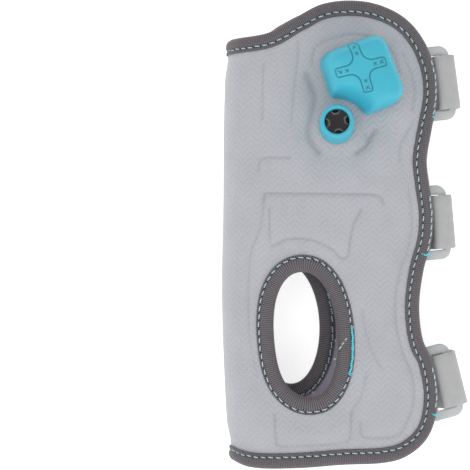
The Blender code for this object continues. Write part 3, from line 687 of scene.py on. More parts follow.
# %% The pattern as triangles
def clear_of(points, others, gap):
    """Those points that lie at least a gap away from all the others."""
    return points[[np.linalg.norm(others - p, axis=1).min() >= gap for p in points]]


def rows_beside(lines, shares):
    """Rows of points beside lines. Each line comes with a width, and shares says how far off."""
    rows = []
    for line, wide in lines:
        ahead = np.gradient(line, axis=0)
        ahead /= np.linalg.norm(ahead, axis=1)[:, None] + 1e-12
        side = np.stack([ahead[:, 1], -ahead[:, 0]], axis=1)
        rows += [line + side * share * wide for share in shares]
    return np.concatenate(rows)


def triangulated(flat, edges, keep):
    """Points and triangles between flat points, where keep says so for a triangle's middle."""
    made = delaunay_2d_cdt([Vector(p / MM) for p in flat], edges, [], 0, 1e-4, False)
    points = np.array([tuple(p) for p in made[0]]) * MM
    faces = np.array(made[2])
    return points, faces[keep(points[faces].mean(1))]


def grid_points(step, margin):
    """An even grid of points on the cloth, away from the tapes."""
    loop = CUTS["edge"][0]
    us = np.arange(loop[:, 0].min(), loop[:, 0].max(), step)
    vs = np.arange(loop[:, 1].min(), loop[:, 1].max(), step * 0.87)
    grid = np.array([(u + step / 2 * (k % 2), v) for k, v in enumerate(vs) for u in us])
    return grid[wall_distance(grid, covered=True) > margin]


def cut_pattern(step, edge_step, own=None, own_clear=0.0):
    """Points and triangles of the pattern. The cut edges' points come first."""
    rings, lips = [], []
    for loop, hole, cover in CUTS.values():
        line = spaced(loop, edge_step)
        rings.append(line)
        lips.append(line - off_edge(line, hole) * (cover + GAP))
    edges, count = [], 0
    for ring in rings + lips:
        edges += [(count + k, count + (k + 1) % len(ring)) for k in range(len(ring))]
        count += len(ring)
    grid = grid_points(step, step * 0.45)
    if own is not None:
        grid = clear_of(grid, own, own_clear)
        own = own[wall_distance(own, covered=True) > step * 0.3]
        grid = np.concatenate([own, grid])
    flat = np.concatenate([*rings, *lips, grid])
    points, faces = triangulated(flat, edges, lambda middles: wall_distance(middles) > 0)
    return points, faces, [len(ring) for ring in rings]


def two_sided(name, outer, inner, counts, paint, painted_shade=None):
    """A closed sheet between two surfaces, each (points, triangles, depth). Its UV map is the pattern."""
    mesh = bmesh.new()
    layer = mesh.loops.layers.uv.new("flat")
    # A point attribute that carries the painted shade of the grooves on the outer skin.
    shown = mesh.verts.layers.float.new("groove_shade")
    sides = []
    for n, (points, faces, depth) in enumerate((outer, inner)):
        verts = [mesh.verts.new(p) for p in placed(points[:, 0], points[:, 1], depth)]
        for face in faces:
            made = mesh.faces.new([verts[k] for k in face])
            for loop, k in zip(made.loops, face):
                loop[layer].uv = points[k] * UV_PER_METRE
        if painted_shade is not None and n == 0:
            for vert, value in zip(verts, painted_shade):
                vert[shown] = float(value)
        sides.append(verts)
    start = 0
    for count in counts:
        for k in range(count):
            a, b = start + k, start + (k + 1) % count
            made = mesh.faces.new([sides[0][a], sides[0][b], sides[1][b], sides[1][a]])
            for loop, m in zip(made.loops, (a, b, b, a)):
                loop[layer].uv = outer[0][m] * UV_PER_METRE
        start += count
    bmesh.ops.delete(mesh, geom=[vert for vert in mesh.verts if not vert.link_faces])
    return made_mesh(name, mesh, paint)


# %% The wrap
SKIN_STEP = 1.9 * MM
EDGE_STEP = 2.4 * MM
groove_points = rows_beside([(line, wide) for _, wide, line in WELD_LINES], (-1.5, -0.7, 0, 0.7, 1.5))
points, faces, counts = cut_pattern(SKIN_STEP, EDGE_STEP, groove_points, 1.0 * MM)
depth, groove_shade = skin_depth(points)
inner_points, inner_faces, _ = cut_pattern(7 * MM, EDGE_STEP)
outer, inner = (points, faces, depth), (inner_points, inner_faces, PAD_DEPTH)
wrap = two_sided("padded_wrap", outer, inner, counts, knit, groove_shade)
finish_piece(wrap, ["wrap"])

# %% [markdown]
# ## The lining
# The lining is a single sheet of cloth with the same pattern. It lies inside the padding, and only a
# slip of it shows through the thumb hole, but the sleeve is open at both ends and it shows there too.

# %% The dotted lining
points, faces, counts = cut_pattern(4.5 * MM, 3.6 * MM)
outer, inner = (points, faces, LINING_TOP), (points, faces, LINING_DEPTH)
lining = two_sided("dotted_lining", outer, inner, counts, lining_cloth)
finish_piece(lining, ["lining"])

# %% [markdown]
# ## The grosgrain bindings
# A binding is a tape folded over the cut edge and sewn through. Its section is swept round each edge,
# with a raised rib every 0.86 mm, as grosgrain has. The tape is drawn down along its seam and swells
# a little between the seam and the fold, and the section's table says so. Its colour carries painted
# shade: darker in the rib valleys, and a dark teal painted shadow along the seam groove.

# %% Tape round an edge
SEAM_IN = 1.9 * MM
THUMB_SEAM_IN = 1.25 * MM
RIB_HIGH = 0.11 * MM


def tape_section(cover, seam_in):
    """The tape's section as (past the edge, depth, how much it ribs and shows its painted rib shade, how much
    painted seam shadow it takes).
    """
    seam = seam_in - cover
    return [
        (-cover, 1.25 * MM, 0.2, 0),
        (-cover - 0.05 * MM, 0.80 * MM, 0.7, 0),
        (-cover + 0.30 * MM, 0.45 * MM, 1.0, 0),
        (seam - 0.80 * MM, 0.42 * MM, 1.0, 0),
        (seam - 0.38 * MM, 0.66 * MM, 0.5, 0.5),
        (seam, 0.92 * MM, 0.3, 0.9),
        (seam + 0.38 * MM, 0.70 * MM, 0.5, 0.5),
        (seam + 0.80 * MM, 0.36 * MM, 1.0, 0),
        (seam * 0.60, 0.08 * MM, 1.0, 0),
        (-1.6 * MM, 0.10 * MM, 1.0, 0),
        (-0.6 * MM, 0.42 * MM, 1.0, 0),
        (0.35 * MM, 1.12 * MM, 1.0, 0),
        (0.85 * MM, 2.0 * MM, 1.0, 0),
        (TAPE_EDGE, 3.0 * MM, 1.0, 0),
        (0.90 * MM, 4.2 * MM, 1.0, 0),
        (0.40 * MM, 5.1 * MM, 1.0, 0),
        (-0.6 * MM, 5.65 * MM, 1.0, 0),
        (-cover * 0.5, 5.85 * MM, 1.0, 0),
        (seam, 5.6 * MM, 0.5, 0.8),
        (-cover, 5.75 * MM, 0.6, 0),
        (-cover, 5.12 * MM, 0.0, 0),
        (-0.1 * MM, 5.08 * MM, 0.0, 0),
        (GAP, 3.0 * MM, 0.0, 0),
        (-0.1 * MM, 1.05 * MM, 0.0, 0),
    ]


def bind(cut):
    """Sweeps the tape's section round a cut edge, with its ribs."""
    loop, hole, cover = CUTS[cut]
    pitch = RIB_PITCH * MM
    length = np.linalg.norm(np.roll(loop, -1, axis=0) - loop, axis=1).sum()
    per_rib = 3 if cut == "edge" else 4
    count = round(length / pitch) * per_rib
    line = spaced(loop, length / count)
    off = off_edge(line, hole)
    off = (off + np.roll(off, 1, axis=0) + np.roll(off, -1, axis=0)) / 3
    off /= np.linalg.norm(off, axis=1)[:, None]
    k = np.arange(len(line))
    wave = 0.5 + 0.5 * np.cos(FULL_TURN * k / per_rib)
    mesh = bmesh.new()
    shown = mesh.verts.layers.float.new("rib_shade")
    # A point attribute that carries the painted shadow along the seam.
    seam_shade_layer = mesh.verts.layers.float.new("seam")
    rings = []
    section_rows = tape_section(cover, SEAM_IN if cut == "edge" else THUMB_SEAM_IN)
    for past, depth, ribbed, seam_shade_share in section_rows:
        lift = RIB_HIGH * wave * ribbed
        round_edge = past > 0 and ribbed > 0
        at = line + off * (past + lift * round_edge)[:, None]
        toward = 0 if round_edge else (-1 if depth < 3 * MM else 1)
        spots = placed(at[:, 0], at[:, 1], depth + toward * lift)
        ring = []
        # The rib wave also sets the painted rib shade, dark in the valleys.
        for spot_at, value in zip(spots, wave * min(1, ribbed * 2)):
            vert = mesh.verts.new(spot_at)
            vert[shown] = float(value)
            vert[seam_shade_layer] = float(seam_shade_share)
            ring.append(vert)
        rings.append(ring)
    steps = [math.dist(a[:2], b[:2]) for a, b in zip(section_rows, section_rows[1:])]
    ways = np.concatenate([[0], np.cumsum(steps + [2 * MM])]) * UV_PER_METRE
    along = length / count * UV_PER_METRE
    face_between(mesh, rings, uvs=lambda row, col: (col * along, ways[row]))
    finish_piece(made_mesh(f"{cut}_tape", mesh, grosgrain), [f"{cut}_binding"])


for cut in CUTS:
    bind(cut)


# %% [markdown]
# ## Stitches
# A lockstitch shows as a row of short slanted dashes that sink into the cloth at both ends. One stitch
# is a thin tube along a low arch, and it has only a few faces because there are hundreds of them. A
# seam is one mesh, so it can be picked up and exported as one piece.


# %% Thread along a seam
def thread_tube(mesh, path, radius, sides=6):
    """A closed tube along a path, with pinched ends."""
    path = np.asarray(path)
    ahead = np.gradient(path, axis=0)
    ahead /= np.linalg.norm(ahead, axis=1)[:, None] + 1e-12
    rings = []
    last = len(path) - 1
    for n, (at, way) in enumerate(zip(path, ahead)):
        up = np.array([0.0, 0.0, 1.0]) if abs(way[2]) < 0.9 else np.array([1.0, 0.0, 0.0])
        a = np.cross(way, up)
        a /= np.linalg.norm(a)
        b = np.cross(way, a)
        size = radius * (0.45 if n in (0, last) else 1.0)
        turns = [FULL_TURN * s / sides for s in range(sides)]
        rings.append([mesh.verts.new(at + (a * math.cos(t) + b * math.sin(t)) * size) for t in turns])
    face_between(mesh, rings, closed=False)
    mesh.faces.new(rings[0])
    mesh.faces.new(rings[-1])


STITCH_PITCH = 3.8 * MM
STITCH_LONG = 2.9 * MM
THREAD = 0.20 * MM
ARCH = [(-0.5, 0.45), (-0.36, -0.12), (-0.12, -0.28), (0.12, -0.28), (0.36, -0.12), (0.5, 0.45)]


def sew(mesh, line, depth, pitch=STITCH_PITCH, long=STITCH_LONG, radius=THREAD, slant=0.10, wobble=0.12):
    """Two-ply stitches along an open pattern line, lying on the cloth at a depth."""
    way = np.concatenate([[0], np.cumsum(np.linalg.norm(np.diff(line, axis=0), axis=1))])
    for n in range(int(way[-1] / pitch)):
        mid = (n + 0.5) * pitch
        jitter = wobble * math.sin(n * 2.39 + way[-1] * 900) * MM
        for ply in (0.0, math.pi):
            path = []
            for share, sink in ARCH:
                at = mid + share * long
                p = np.array([np.interp(at, way, line[:, k]) for k in (0, 1)])
                q = np.array([np.interp(at + 0.2 * MM, way, line[:, k]) for k in (0, 1)])
                side = np.array([q[1] - p[1], p[0] - q[0]])
                side /= np.linalg.norm(side) + 1e-12
                twist = ply + share * math.pi * 2.2
                p = p + side * (share * slant * long + jitter + math.cos(twist) * radius * 0.85)
                path.append(placed(p[0], p[1], depth + sink * MM + math.sin(twist) * radius * 0.5))
            thread_tube(mesh, path, radius, sides=5)


def cord(mesh, line, depth, radius, pitch):
    """A cord of two plies, twisted round each other along a pattern line."""
    way = np.concatenate([[0], np.cumsum(np.linalg.norm(np.diff(line, axis=0), axis=1))])
    along = np.arange(0, way[-1], pitch / 8)
    p = np.stack([np.interp(along, way, line[:, k]) for k in (0, 1)], axis=1)
    side = np.gradient(p, axis=0)[:, ::-1] * [1, -1]
    side /= np.linalg.norm(side, axis=1)[:, None]
    p = p + side * (0.14 * MM * np.sin(along / MM * 1.3))[:, None]
    for ply in (0.0, math.pi):
        twist = FULL_TURN * along / pitch + ply
        spots = p + side * (np.cos(twist) * radius)[:, None]
        thread_tube(mesh, placed(spots[:, 0], spots[:, 1], depth - radius + np.sin(twist) * radius), radius)


def seam_line(cut, inset):
    """A closed line beside a cut edge, on the cloth's side."""
    loop, hole, _ = CUTS[cut]
    line = spaced(loop, 1.0 * MM)
    line = line - off_edge(line, hole) * inset
    return np.concatenate([line, line[:1]])


def sewn(name, lines, paint, **how):
    """One piece with the stitches along some lines, each with its depth."""
    mesh = bmesh.new()
    for line, depth in lines:
        sew(mesh, line, depth, **how)
    finish_piece(made_mesh(name, mesh, paint))


FACE_DEPTH = 0.80 * MM
SEAMS = [
    # piece, cut edge, how far in from it, depth, slant
    ("edge_stitches", "edge", TAPE_COVER - SEAM_IN, FACE_DEPTH, 0.1),
    ("edge_stitches_inside", "edge", TAPE_COVER - SEAM_IN, 5.75 * MM, -0.1),
    ("front_thumb_stitches", "front_thumb", THUMB_FRONT_COVER - THUMB_SEAM_IN, FACE_DEPTH, 0.1),
    ("back_thumb_stitches", "back_thumb", THUMB_COVER - THUMB_SEAM_IN, FACE_DEPTH, 0.1),
    ("back_thumb_stitches_inside", "back_thumb", THUMB_COVER - THUMB_SEAM_IN, 5.80 * MM, 0.1),
]
for name, cut, inset, depth, slant in SEAMS:
    sewn(name, [(seam_line(cut, inset), depth)], thread, slant=slant)

# %% [markdown]
# ## Where a strap meets its ring
# Three frosted rings are sewn under the open edge, and a strap is looped through each. The straps' and
# rings' frames repeat those of the solids: out is the way off the edge, and side the way along it.

# %% The strap stations
STRAP_WIDTH = 26 * MM
STRAP_THICK = 1.6 * MM
STRAP_SIDE = 0.4 * MM
STRAP_CLEAR = 0.3 * MM
RING_BAR = 3.4 * MM
RING_END = 4.6 * MM
RING_THICK = 2.4 * MM
RING_ROOT = 3.5 * MM
STRAP_SLACK = 0.9 * MM
STRAP_SEWN = 10 * MM
RING_BEVEL = 0.55 * MM
STRAPS = [
    # name, along, turn, reach, tail
    ("forearm", 0.330, 7.5, 9.1 * MM, 0.62),
    ("wrist", 0.026, 4.9, 8.7 * MM, 0.62),
    ("hand", -0.326, 14.0, 10.8 * MM, 0.42),
]


class Station:
    """Where a strap crosses the open edge. A place out from the edge is called w."""

    def __init__(self, along, turn, reach, tail):
        angle = math.radians(turn)
        self.out = np.array([math.cos(angle), math.sin(angle)])
        self.side = np.array([-self.out[1], self.out[0]])
        self.reach, self.tail = reach, tail * WIDTH
        v = along * LENGTH
        loop = CUTS["edge"][0]
        near = loop[loop[:, 0] > front_way(0.8)]
        near = near[np.argsort(near[:, 1])]
        u = float(np.interp(v, near[:, 1], near[:, 0]))
        self.edge = placed(u, v, TAPE_DEPTH)[:2]
        self.edge = self.edge + self.out * self.skirt(1, [TAPE_EDGE])[0].max()
        self.back = self.skirt(-1, [TAPE_EDGE])[0].max()
        low, high = (placed(u - k, v, TAPE_DEPTH) for k in (0, TAPE_COVER))
        self.slope = (high[2] - low[2]) / (low[0] - high[0])
        inwards = [TAPE_EDGE, 0, -TAPE_COVER / 2, -TAPE_COVER, -1.6 * TAPE_COVER]
        w, z = self.skirt(1, inwards)
        near = w > -RING_ROOT - RING_BAR
        self.height = (z + w * self.slope)[near].min() - RING_THICK / 2 - GAP
        self.seat = self.skirt(-1, inwards + [-TAPE_COVER - STRAP_SEWN])[1].max() + STRAP_THICK / 2 + 2 * GAP

    def skirt(self, front, inwards):
        found = []
        rough = spaced(CUTS["edge"][0], 7.2 * MM)
        for past in inwards:
            line = spaced(rough + off_edge(rough, False) * past, MM)
            line = line[(line[:, 0] - FOLD_SHIFT) * front > 0]
            at = placed(line[:, 0], line[:, 1], TAPE_DEPTH)
            w, s = (at[:, :2] - self.edge) @ self.out, (at[:, :2] - self.edge) @ self.side
            beside = (abs(s) < STRAP_WIDTH / 2 + STRAP_SIDE + RING_END) & (w > -WIDTH / 2)
            found.append(np.stack([w, at[:, 2]])[:, beside])
        return np.concatenate(found, axis=1)

    def ring_height(self, w):
        return self.height - w * self.slope

    def matrix(self):
        """Turns a ring drawn flat, with X out and Y along the edge, into its place."""
        made = Matrix.Identity(4)
        made[0][0], made[1][0], made[2][0] = self.out[0], self.out[1], -self.slope
        made[0][1], made[1][1] = self.side[0], self.side[1]
        made[0][3], made[1][3], made[2][3] = self.edge[0], self.edge[1], self.height
        return made

    def point(self, w, s, z):
        x, y = self.edge + self.out * w + self.side * s
        return (x, y, z)


stations = {name: Station(*rest) for name, *rest in STRAPS}
for name, at in stations.items():
    low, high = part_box(f"{name}_ring")
    solid = (round(low.z / MM, 2), round(high.z / MM, 2))
    print(name, "ring height", round(at.height / MM, 2), "mm, its solid from and to", *solid)

# %% [markdown]
# ## The straps
# A strap is a thin flat ribbon, so it is modelled directly: its middle line runs from its sewn end, up
# through the ring, over the outer bar and back under the sleeve, and a rounded section is swept along
# it. A cloth simulation would only blur so thin a piece.


# %% The strap's line
def strap_line(at):
    half = STRAP_THICK / 2
    off = GAP + half
    slot = GAP + half + STRAP_CLEAR
    outer = at.reach + STRAP_SLACK + half
    rise = at.ring_height(slot) - at.seat
    points = [
        (at.back - STRAP_SEWN - TAPE_COVER, at.seat),
        (at.back - STRAP_SEWN / 2, at.seat),
        (at.back + half, at.seat + 0.06 * rise),
        (at.back * 0.45 + slot * 0.55, at.seat + 0.30 * rise),
        (slot - 0.4 * half, at.seat + 0.66 * rise),
    ]
    shoulder = RING_THICK / 2 - RING_BEVEL
    for turn in (180, 135, 90, 89, 60, 30, 0):
        c, s = math.cos(math.radians(turn)), math.sin(math.radians(turn))
        radius = off + RING_BEVEL
        if turn < 90:
            radius += (1 - s) * (STRAP_SLACK - GAP)
        corner = at.reach - RING_BEVEL if turn < 90 else slot + radius
        w = corner + c * radius
        points.append((w, at.ring_height(w) + shoulder + s * radius))
    fall = points[-1][1] - half
    for share, drop in ((0.02, 0.30), (0.10, 0.58), (0.32, 0.82), (0.68, 0.96), (1.10, 1.0)):
        points.append((outer - share * fall * 0.75, half + (1 - drop) * fall))
    line = smooth_path(points, 6)
    line[:, 1] = np.maximum(line[:, 1], half)
    ends = np.linspace(line[-1, 0], -at.tail, 30)[1:]
    return np.concatenate([line, np.stack([ends, np.full(len(ends), half)], axis=1)])


def make_strap(name, at):
    line = spaced(strap_line(at), 0.9 * MM, closed=False)
    ahead = np.gradient(line, axis=0)
    ahead /= np.linalg.norm(ahead, axis=1)[:, None]
    normal = np.stack([-ahead[:, 1], ahead[:, 0]], axis=1)
    half, thick, edge = STRAP_WIDTH / 2, STRAP_THICK / 2, 0.35 * MM
    flat_rows = [(s, thick) for s in np.linspace(half, -half, 9)[1:-1]]
    section_rows = [(half - edge, 0.99 * thick)] + flat_rows + [(edge - half, 0.99 * thick)]
    outline = [(half, thick - edge)] + section_rows + [(-half, thick - edge), (-half, edge - thick)]
    outline += [(s, -h) for s, h in reversed(section_rows)] + [(half, edge - thick)]
    way = np.concatenate([[0], np.cumsum(np.linalg.norm(np.diff(line, axis=0), axis=1))])
    end = STRAP_WIDTH * 0.25
    mesh = bmesh.new()
    rings = []
    for k, (mid, up) in enumerate(zip(line, normal)):
        left = (way[-1] - way[k]) / end
        narrow = math.sqrt(max(0.0, 1 - (1 - min(left, 1)) ** 2)) if left < 1 else 1.0
        limit = half - end + end * max(narrow, 0.05)
        ring = []
        for s, h in outline:
            p = mid + up * h
            ring.append(mesh.verts.new(at.point(p[0], max(-limit, min(limit, s)), p[1])))
        rings.append(ring)
    along, across = way * UV_PER_METRE, [s * UV_PER_METRE for s, _ in outline]
    face_between(mesh, rings, closed=False, uvs=lambda row, col: (along[row], across[col % len(across)]))
    mesh.faces.new(rings[0])
    mesh.faces.new(rings[-1])
    piece = made_mesh(f"{name}_webbing", mesh, webbing)
    piece.data.set_sharp_from_angle(angle=math.radians(50))
    finish_piece(piece, [f"{name}_strap"])


for name, at in stations.items():
    make_strap(name, at)

# %% [markdown]
# ## The rings
# A ring is moulded: a rounded oblong with a slot. It starts as a cube scaled to its outer size. Edit
# mode rounds its upright corners, a second block cuts the slot with a Boolean, and a Bevel rounds all
# the edges, because a moulded bar has no sharp ones.


# %% Rounded blocks and the rings
def rounded_block(name, size, middle, corners):
    """A block with its upright edges bevelled in edit mode; corners gives the radius at +X and at -X."""
    bpy.ops.mesh.primitive_cube_add(size=1, location=middle)
    block = bpy.context.object
    block.name = name
    block.scale = size
    bpy.ops.object.transform_apply(location=True, rotation=True, scale=True)
    for sign, radius in zip((1, -1), corners):
        bpy.ops.object.mode_set(mode="EDIT")
        bpy.ops.mesh.select_all(action="DESELECT")
        mesh = bmesh.from_edit_mesh(block.data)
        for edge in mesh.edges:
            a, b = (vert.co for vert in edge.verts)
            upright = abs(a.x - b.x) < 1e-7 and abs(a.y - b.y) < 1e-7
            if upright and (a.x - middle[0]) * sign > size[0] * 0.49:
                edge.select_set(True)
        bmesh.update_edit_mesh(block.data)
        bpy.ops.mesh.bevel(offset=radius, segments=8, affect="EDGES")
        bpy.ops.object.mode_set(mode="OBJECT")
    return block


def apply_modifier(piece, kind, **settings):
    bpy.ops.object.select_all(action="DESELECT")
    piece.select_set(True)
    bpy.context.view_layer.objects.active = piece
    made = piece.modifiers.new(kind.title(), kind)
    for name, value in settings.items():
        setattr(made, name, value)
    bpy.ops.object.modifier_apply(modifier=made.name)


def bevel(piece, width, segments, angle):
    """Rounds the edges that turn by more than an angle in degrees."""
    limit = math.radians(angle)
    apply_modifier(piece, "BEVEL", width=width, segments=segments, limit_method="ANGLE", angle_limit=limit)


def subtract(piece, cutter):
    """Cuts one object out of another and removes it."""
    apply_modifier(piece, "BOOLEAN", object=cutter, operation="DIFFERENCE", solver="EXACT")
    bpy.data.objects.remove(cutter)


def painted(piece, place, paint, angle):
    """Moves a piece to its place, gives it one material, and keeps sharp what turns more than an angle."""
    piece.data.transform(place)
    piece.data.materials.clear()
    piece.data.materials.append(paint)
    bpy.ops.object.shade_smooth_by_angle(angle=math.radians(angle))


def make_ring(name, at):
    wide = STRAP_WIDTH + 2 * STRAP_SIDE
    inner, outer = RING_BAR / 2 - RING_ROOT, at.reach - RING_BAR
    middle = ((inner + outer) / 2, 0, 0)
    size = (outer - inner + 2 * RING_BAR, wide + 2 * RING_END, RING_THICK)
    piece = rounded_block(f"{name}_loop", size, middle, (5.0 * MM, 1.7 * MM))
    cutter = rounded_block("cutter", (outer - inner, wide, 3 * RING_THICK), middle, (1.0 * MM, 0.8 * MM))
    subtract(piece, cutter)
    bevel(piece, 0.85 * MM, 4, 40)
    painted(piece, at.matrix(), frosted, 50)
    finish_piece(piece, [f"{name}_ring"])


for name, at in stations.items():
    make_ring(name, at)

# %% [markdown]
# ## The pump bulb
# The bulb is a thick rubber pillow with a scooped corner that makes room for the valve. Its sides are
# rings of its outline, drawn in towards the top, and its crown is a fine grid, because it carries an
# engraved cross and rows of tiny crosses that show where to press. These are common figures.

# %% The bulb's outline and height
PUMP_WIDTH = 31.5 * MM
PUMP_LENGTH = 33.6 * MM
PUMP_HEIGHT = 18 * MM
PUMP_CORNER = 6 * MM
PUMP_TURN = math.radians(21.3)
PUMP_ACROSS = 0.6335
PUMP_ALONG = 0.3355
PUMP_CLEAR = 5.9 * MM
VALVE_RADIUS = 8.4 * MM
VALVE_ACROSS = 0.524
VALVE_ALONG = 0.232
VALVE_SPOT = np.array([(VALVE_ACROSS - PUMP_ACROSS) * WIDTH, (VALVE_ALONG - PUMP_ALONG) * LENGTH])


def seat_frame(across, along):
    """The frame of a piece that stands on the front skin."""
    u, v = float(front_way(across)), along * LENGTH
    _, _, nx, nz = on_section(np.array([u]), np.array([v]))
    tilt = Matrix.Rotation(math.atan2(-nx[0], -nz[0]), 4, "Y")
    return Matrix.Translation(Vector(placed(u, v, -GAP))) @ tilt


def arc(x, y, radius, first, last, steps):
    turns = np.radians(np.linspace(first, last, steps))
    return [(x + radius * math.cos(t), y + radius * math.sin(t)) for t in turns]


def turned(points, angle):
    c, s = math.cos(angle), math.sin(angle)
    return np.asarray(points) @ np.array([[c, s], [-s, c]])


def softened(line, passes):
    """A closed line whose points are drawn towards their neighbours."""
    for _ in range(passes):
        line = (np.roll(line, 1, axis=0) + 2 * line + np.roll(line, -1, axis=0)) / 4
    return line


def pump_outline(count):
    """The bulb's outline: a turned oblong with round corners, pushed back from the valve."""
    a, b, r = PUMP_WIDTH / 2, PUMP_LENGTH / 2, PUMP_CORNER
    corners = [(a - r, b - r, 0), (r - a, b - r, 90), (r - a, r - b, 180), (a - r, r - b, 270)]
    found = [point for x, y, first in corners for point in arc(x, y, r, first, first + 90, 12)]
    found = spaced(turned(found, PUMP_TURN), MM)
    away = found - VALVE_SPOT
    far = np.linalg.norm(away, axis=1)[:, None]
    clear = VALVE_RADIUS + PUMP_CLEAR
    found = softened(np.where(far < clear, VALVE_SPOT + away * clear / far, found), 4)
    way = np.linalg.norm(np.roll(found, -1, axis=0) - found, axis=1).sum()
    return spaced(found, way / count)


SIDES = [
    # height and size as shares of the bulb's own, and how much wider the scoop is there
    (0.000, 1.020, 0.0),
    (0.028, 1.028, 0.0),
    (0.048, 1.020, 0.0),
    (0.064, 0.990, 0.0),
    (0.120, 0.985, 0.1 * MM),
    (0.200, 0.994, 0.25 * MM),
    (0.300, 1.000, 0.5 * MM),
    (0.420, 0.998, 1.1 * MM),
    (0.550, 0.985, 1.9 * MM),
    (0.620, 0.970, 2.5 * MM),
]
CROWN = [
    # size and height, as shares
    (0.00, 1.006),
    (0.30, 1.003),
    (0.50, 0.993),
    (0.65, 0.972),
    (0.76, 0.935),
    (0.83, 0.890),
    (0.89, 0.820),
    (0.93, 0.745),
    (0.96, 0.670),
    (1.00, 0.500),
]
SCOOP = [
    # how much wider the scoop is in mm, and the height it reaches there
    (0.0, 0.10),
    (0.5, 0.30),
    (1.1, 0.42),
    (1.9, 0.55),
    (3.0, 0.70),
    (4.1, 0.82),
    (5.2, 0.91),
    (6.4, 0.98),
    (8.0, 1.05),
    (14.0, 1.60),
]
SCOOP_FOOT = VALVE_RADIUS + PUMP_CLEAR * 7 / 8 - 0.5 * MM
LOBE_PASSES = 10
outline = pump_outline(170)
LOBE_AT = np.array([-13.3, -12.9]) * MM
LOBE_PULL = np.array([-1.5, -1.0]) * MM
LOBE_REACH = 7 * MM
lobe_share = np.exp(-(np.linalg.norm(outline - LOBE_AT, axis=1) / LOBE_REACH) ** 2)
outline = outline + LOBE_PULL * lobe_share[:, None]
polar = np.arctan2(outline[:, 1], outline[:, 0])
radii = np.hypot(outline[:, 0], outline[:, 1])


def bulb_level(size, wider):
    """The bulb's outline at one height."""
    away = outline * size - VALVE_SPOT
    far = np.linalg.norm(away, axis=1)[:, None]
    return softened(VALVE_SPOT + away * np.maximum(1, (SCOOP_FOOT + wider) / far), LOBE_PASSES)


# %% [markdown]
# ### The engraving
# The cross is drawn as one closed line: four arms with round corners, and a wide fillet between each
# two. Its arms follow the bulb's crown, so they aren't quite square to each other.

# %% The cross and the little crosses
ARM = 11.9 * MM
ARM_HALF = 2.15 * MM
ARM_CORNER = 1.1 * MM
ARM_FILLET = 4.4 * MM
CROSS_MIDDLE = np.array([-2.6 * MM, 3.5 * MM])
ACROSS_TURN, ALONG_TURN = math.radians(14.5), math.radians(18)
CROSS_AXES = np.array([
    [math.cos(ACROSS_TURN), math.sin(ACROSS_TURN)],
    [-math.sin(ALONG_TURN), math.cos(ALONG_TURN)],
])

inner = ARM_HALF + ARM_FILLET
arm_line = arc(ARM - ARM_CORNER, ARM_CORNER - ARM_HALF, ARM_CORNER, -90, 0, 4)
arm_line += arc(ARM - ARM_CORNER, ARM_HALF - ARM_CORNER, ARM_CORNER, 0, 90, 4)
arm_line += arc(inner, inner, ARM_FILLET, 270, 180, 7)
cross = spaced(np.concatenate([turned(arm_line, k * math.pi / 2) for k in range(4)]), 0.6 * MM)
marks = [np.concatenate([cross, cross[:1]])]
for k in range(4):
    for far in (6.7 * MM, 9.8 * MM):
        for tilt in (45, -45):
            way = np.array([math.cos(math.radians(tilt)), math.sin(math.radians(tilt))]) * 0.72 * MM
            middle = turned([[far, 0]], k * math.pi / 2)[0]
            marks.append(np.array([middle - way, middle - way / 3, middle + way / 3, middle + way]))
marks = [line @ CROSS_AXES + CROSS_MIDDLE for line in marks]
print("engraved lines:", len(marks))

# %% The bulb's mesh
ENGRAVED_WIDE = 0.24 * MM
BLEND = 14.0


def bulb_share(points):
    """How far out from the bulb's middle points lie, as a share of its outline."""
    angle = np.arctan2(points[:, 1], points[:, 0])
    return np.hypot(points[:, 0], points[:, 1]) / np.interp(angle, polar, radii, period=FULL_TURN)


def bulb_crown(points):
    """The crown's height at points, and how much painted shade each takes in the engraving."""
    share = bulb_share(points)
    crown = hermite(np.clip(share, 0, 1), *np.array(CROWN).T)
    wider = np.linalg.norm(points - VALVE_SPOT, axis=1) - SCOOP_FOOT
    scoop = hermite(np.clip(wider / MM, 0, 14), *np.array(SCOOP).T)
    height = -np.log(np.exp(-BLEND * crown) + np.exp(-BLEND * scoop)) / BLEND * PUMP_HEIGHT
    angle = np.arctan2(points[:, 1], points[:, 0]) - PUMP_TURN
    height -= 0.32 * MM * np.cos(4 * angle) * np.clip(share, 0, 0.8) ** 2
    shade_share = np.zeros(len(points))
    for n, line in enumerate(marks):
        far = distance_to(line, points)
        groove = np.exp(-((far / ENGRAVED_WIDE) ** 2))
        height -= groove * (0.38 if n == 0 else 0.28) * MM
        # How much painted shade each point takes in the engraved groove.
        shade_share = np.maximum(shade_share, groove * 0.85)
    return height, shade_share


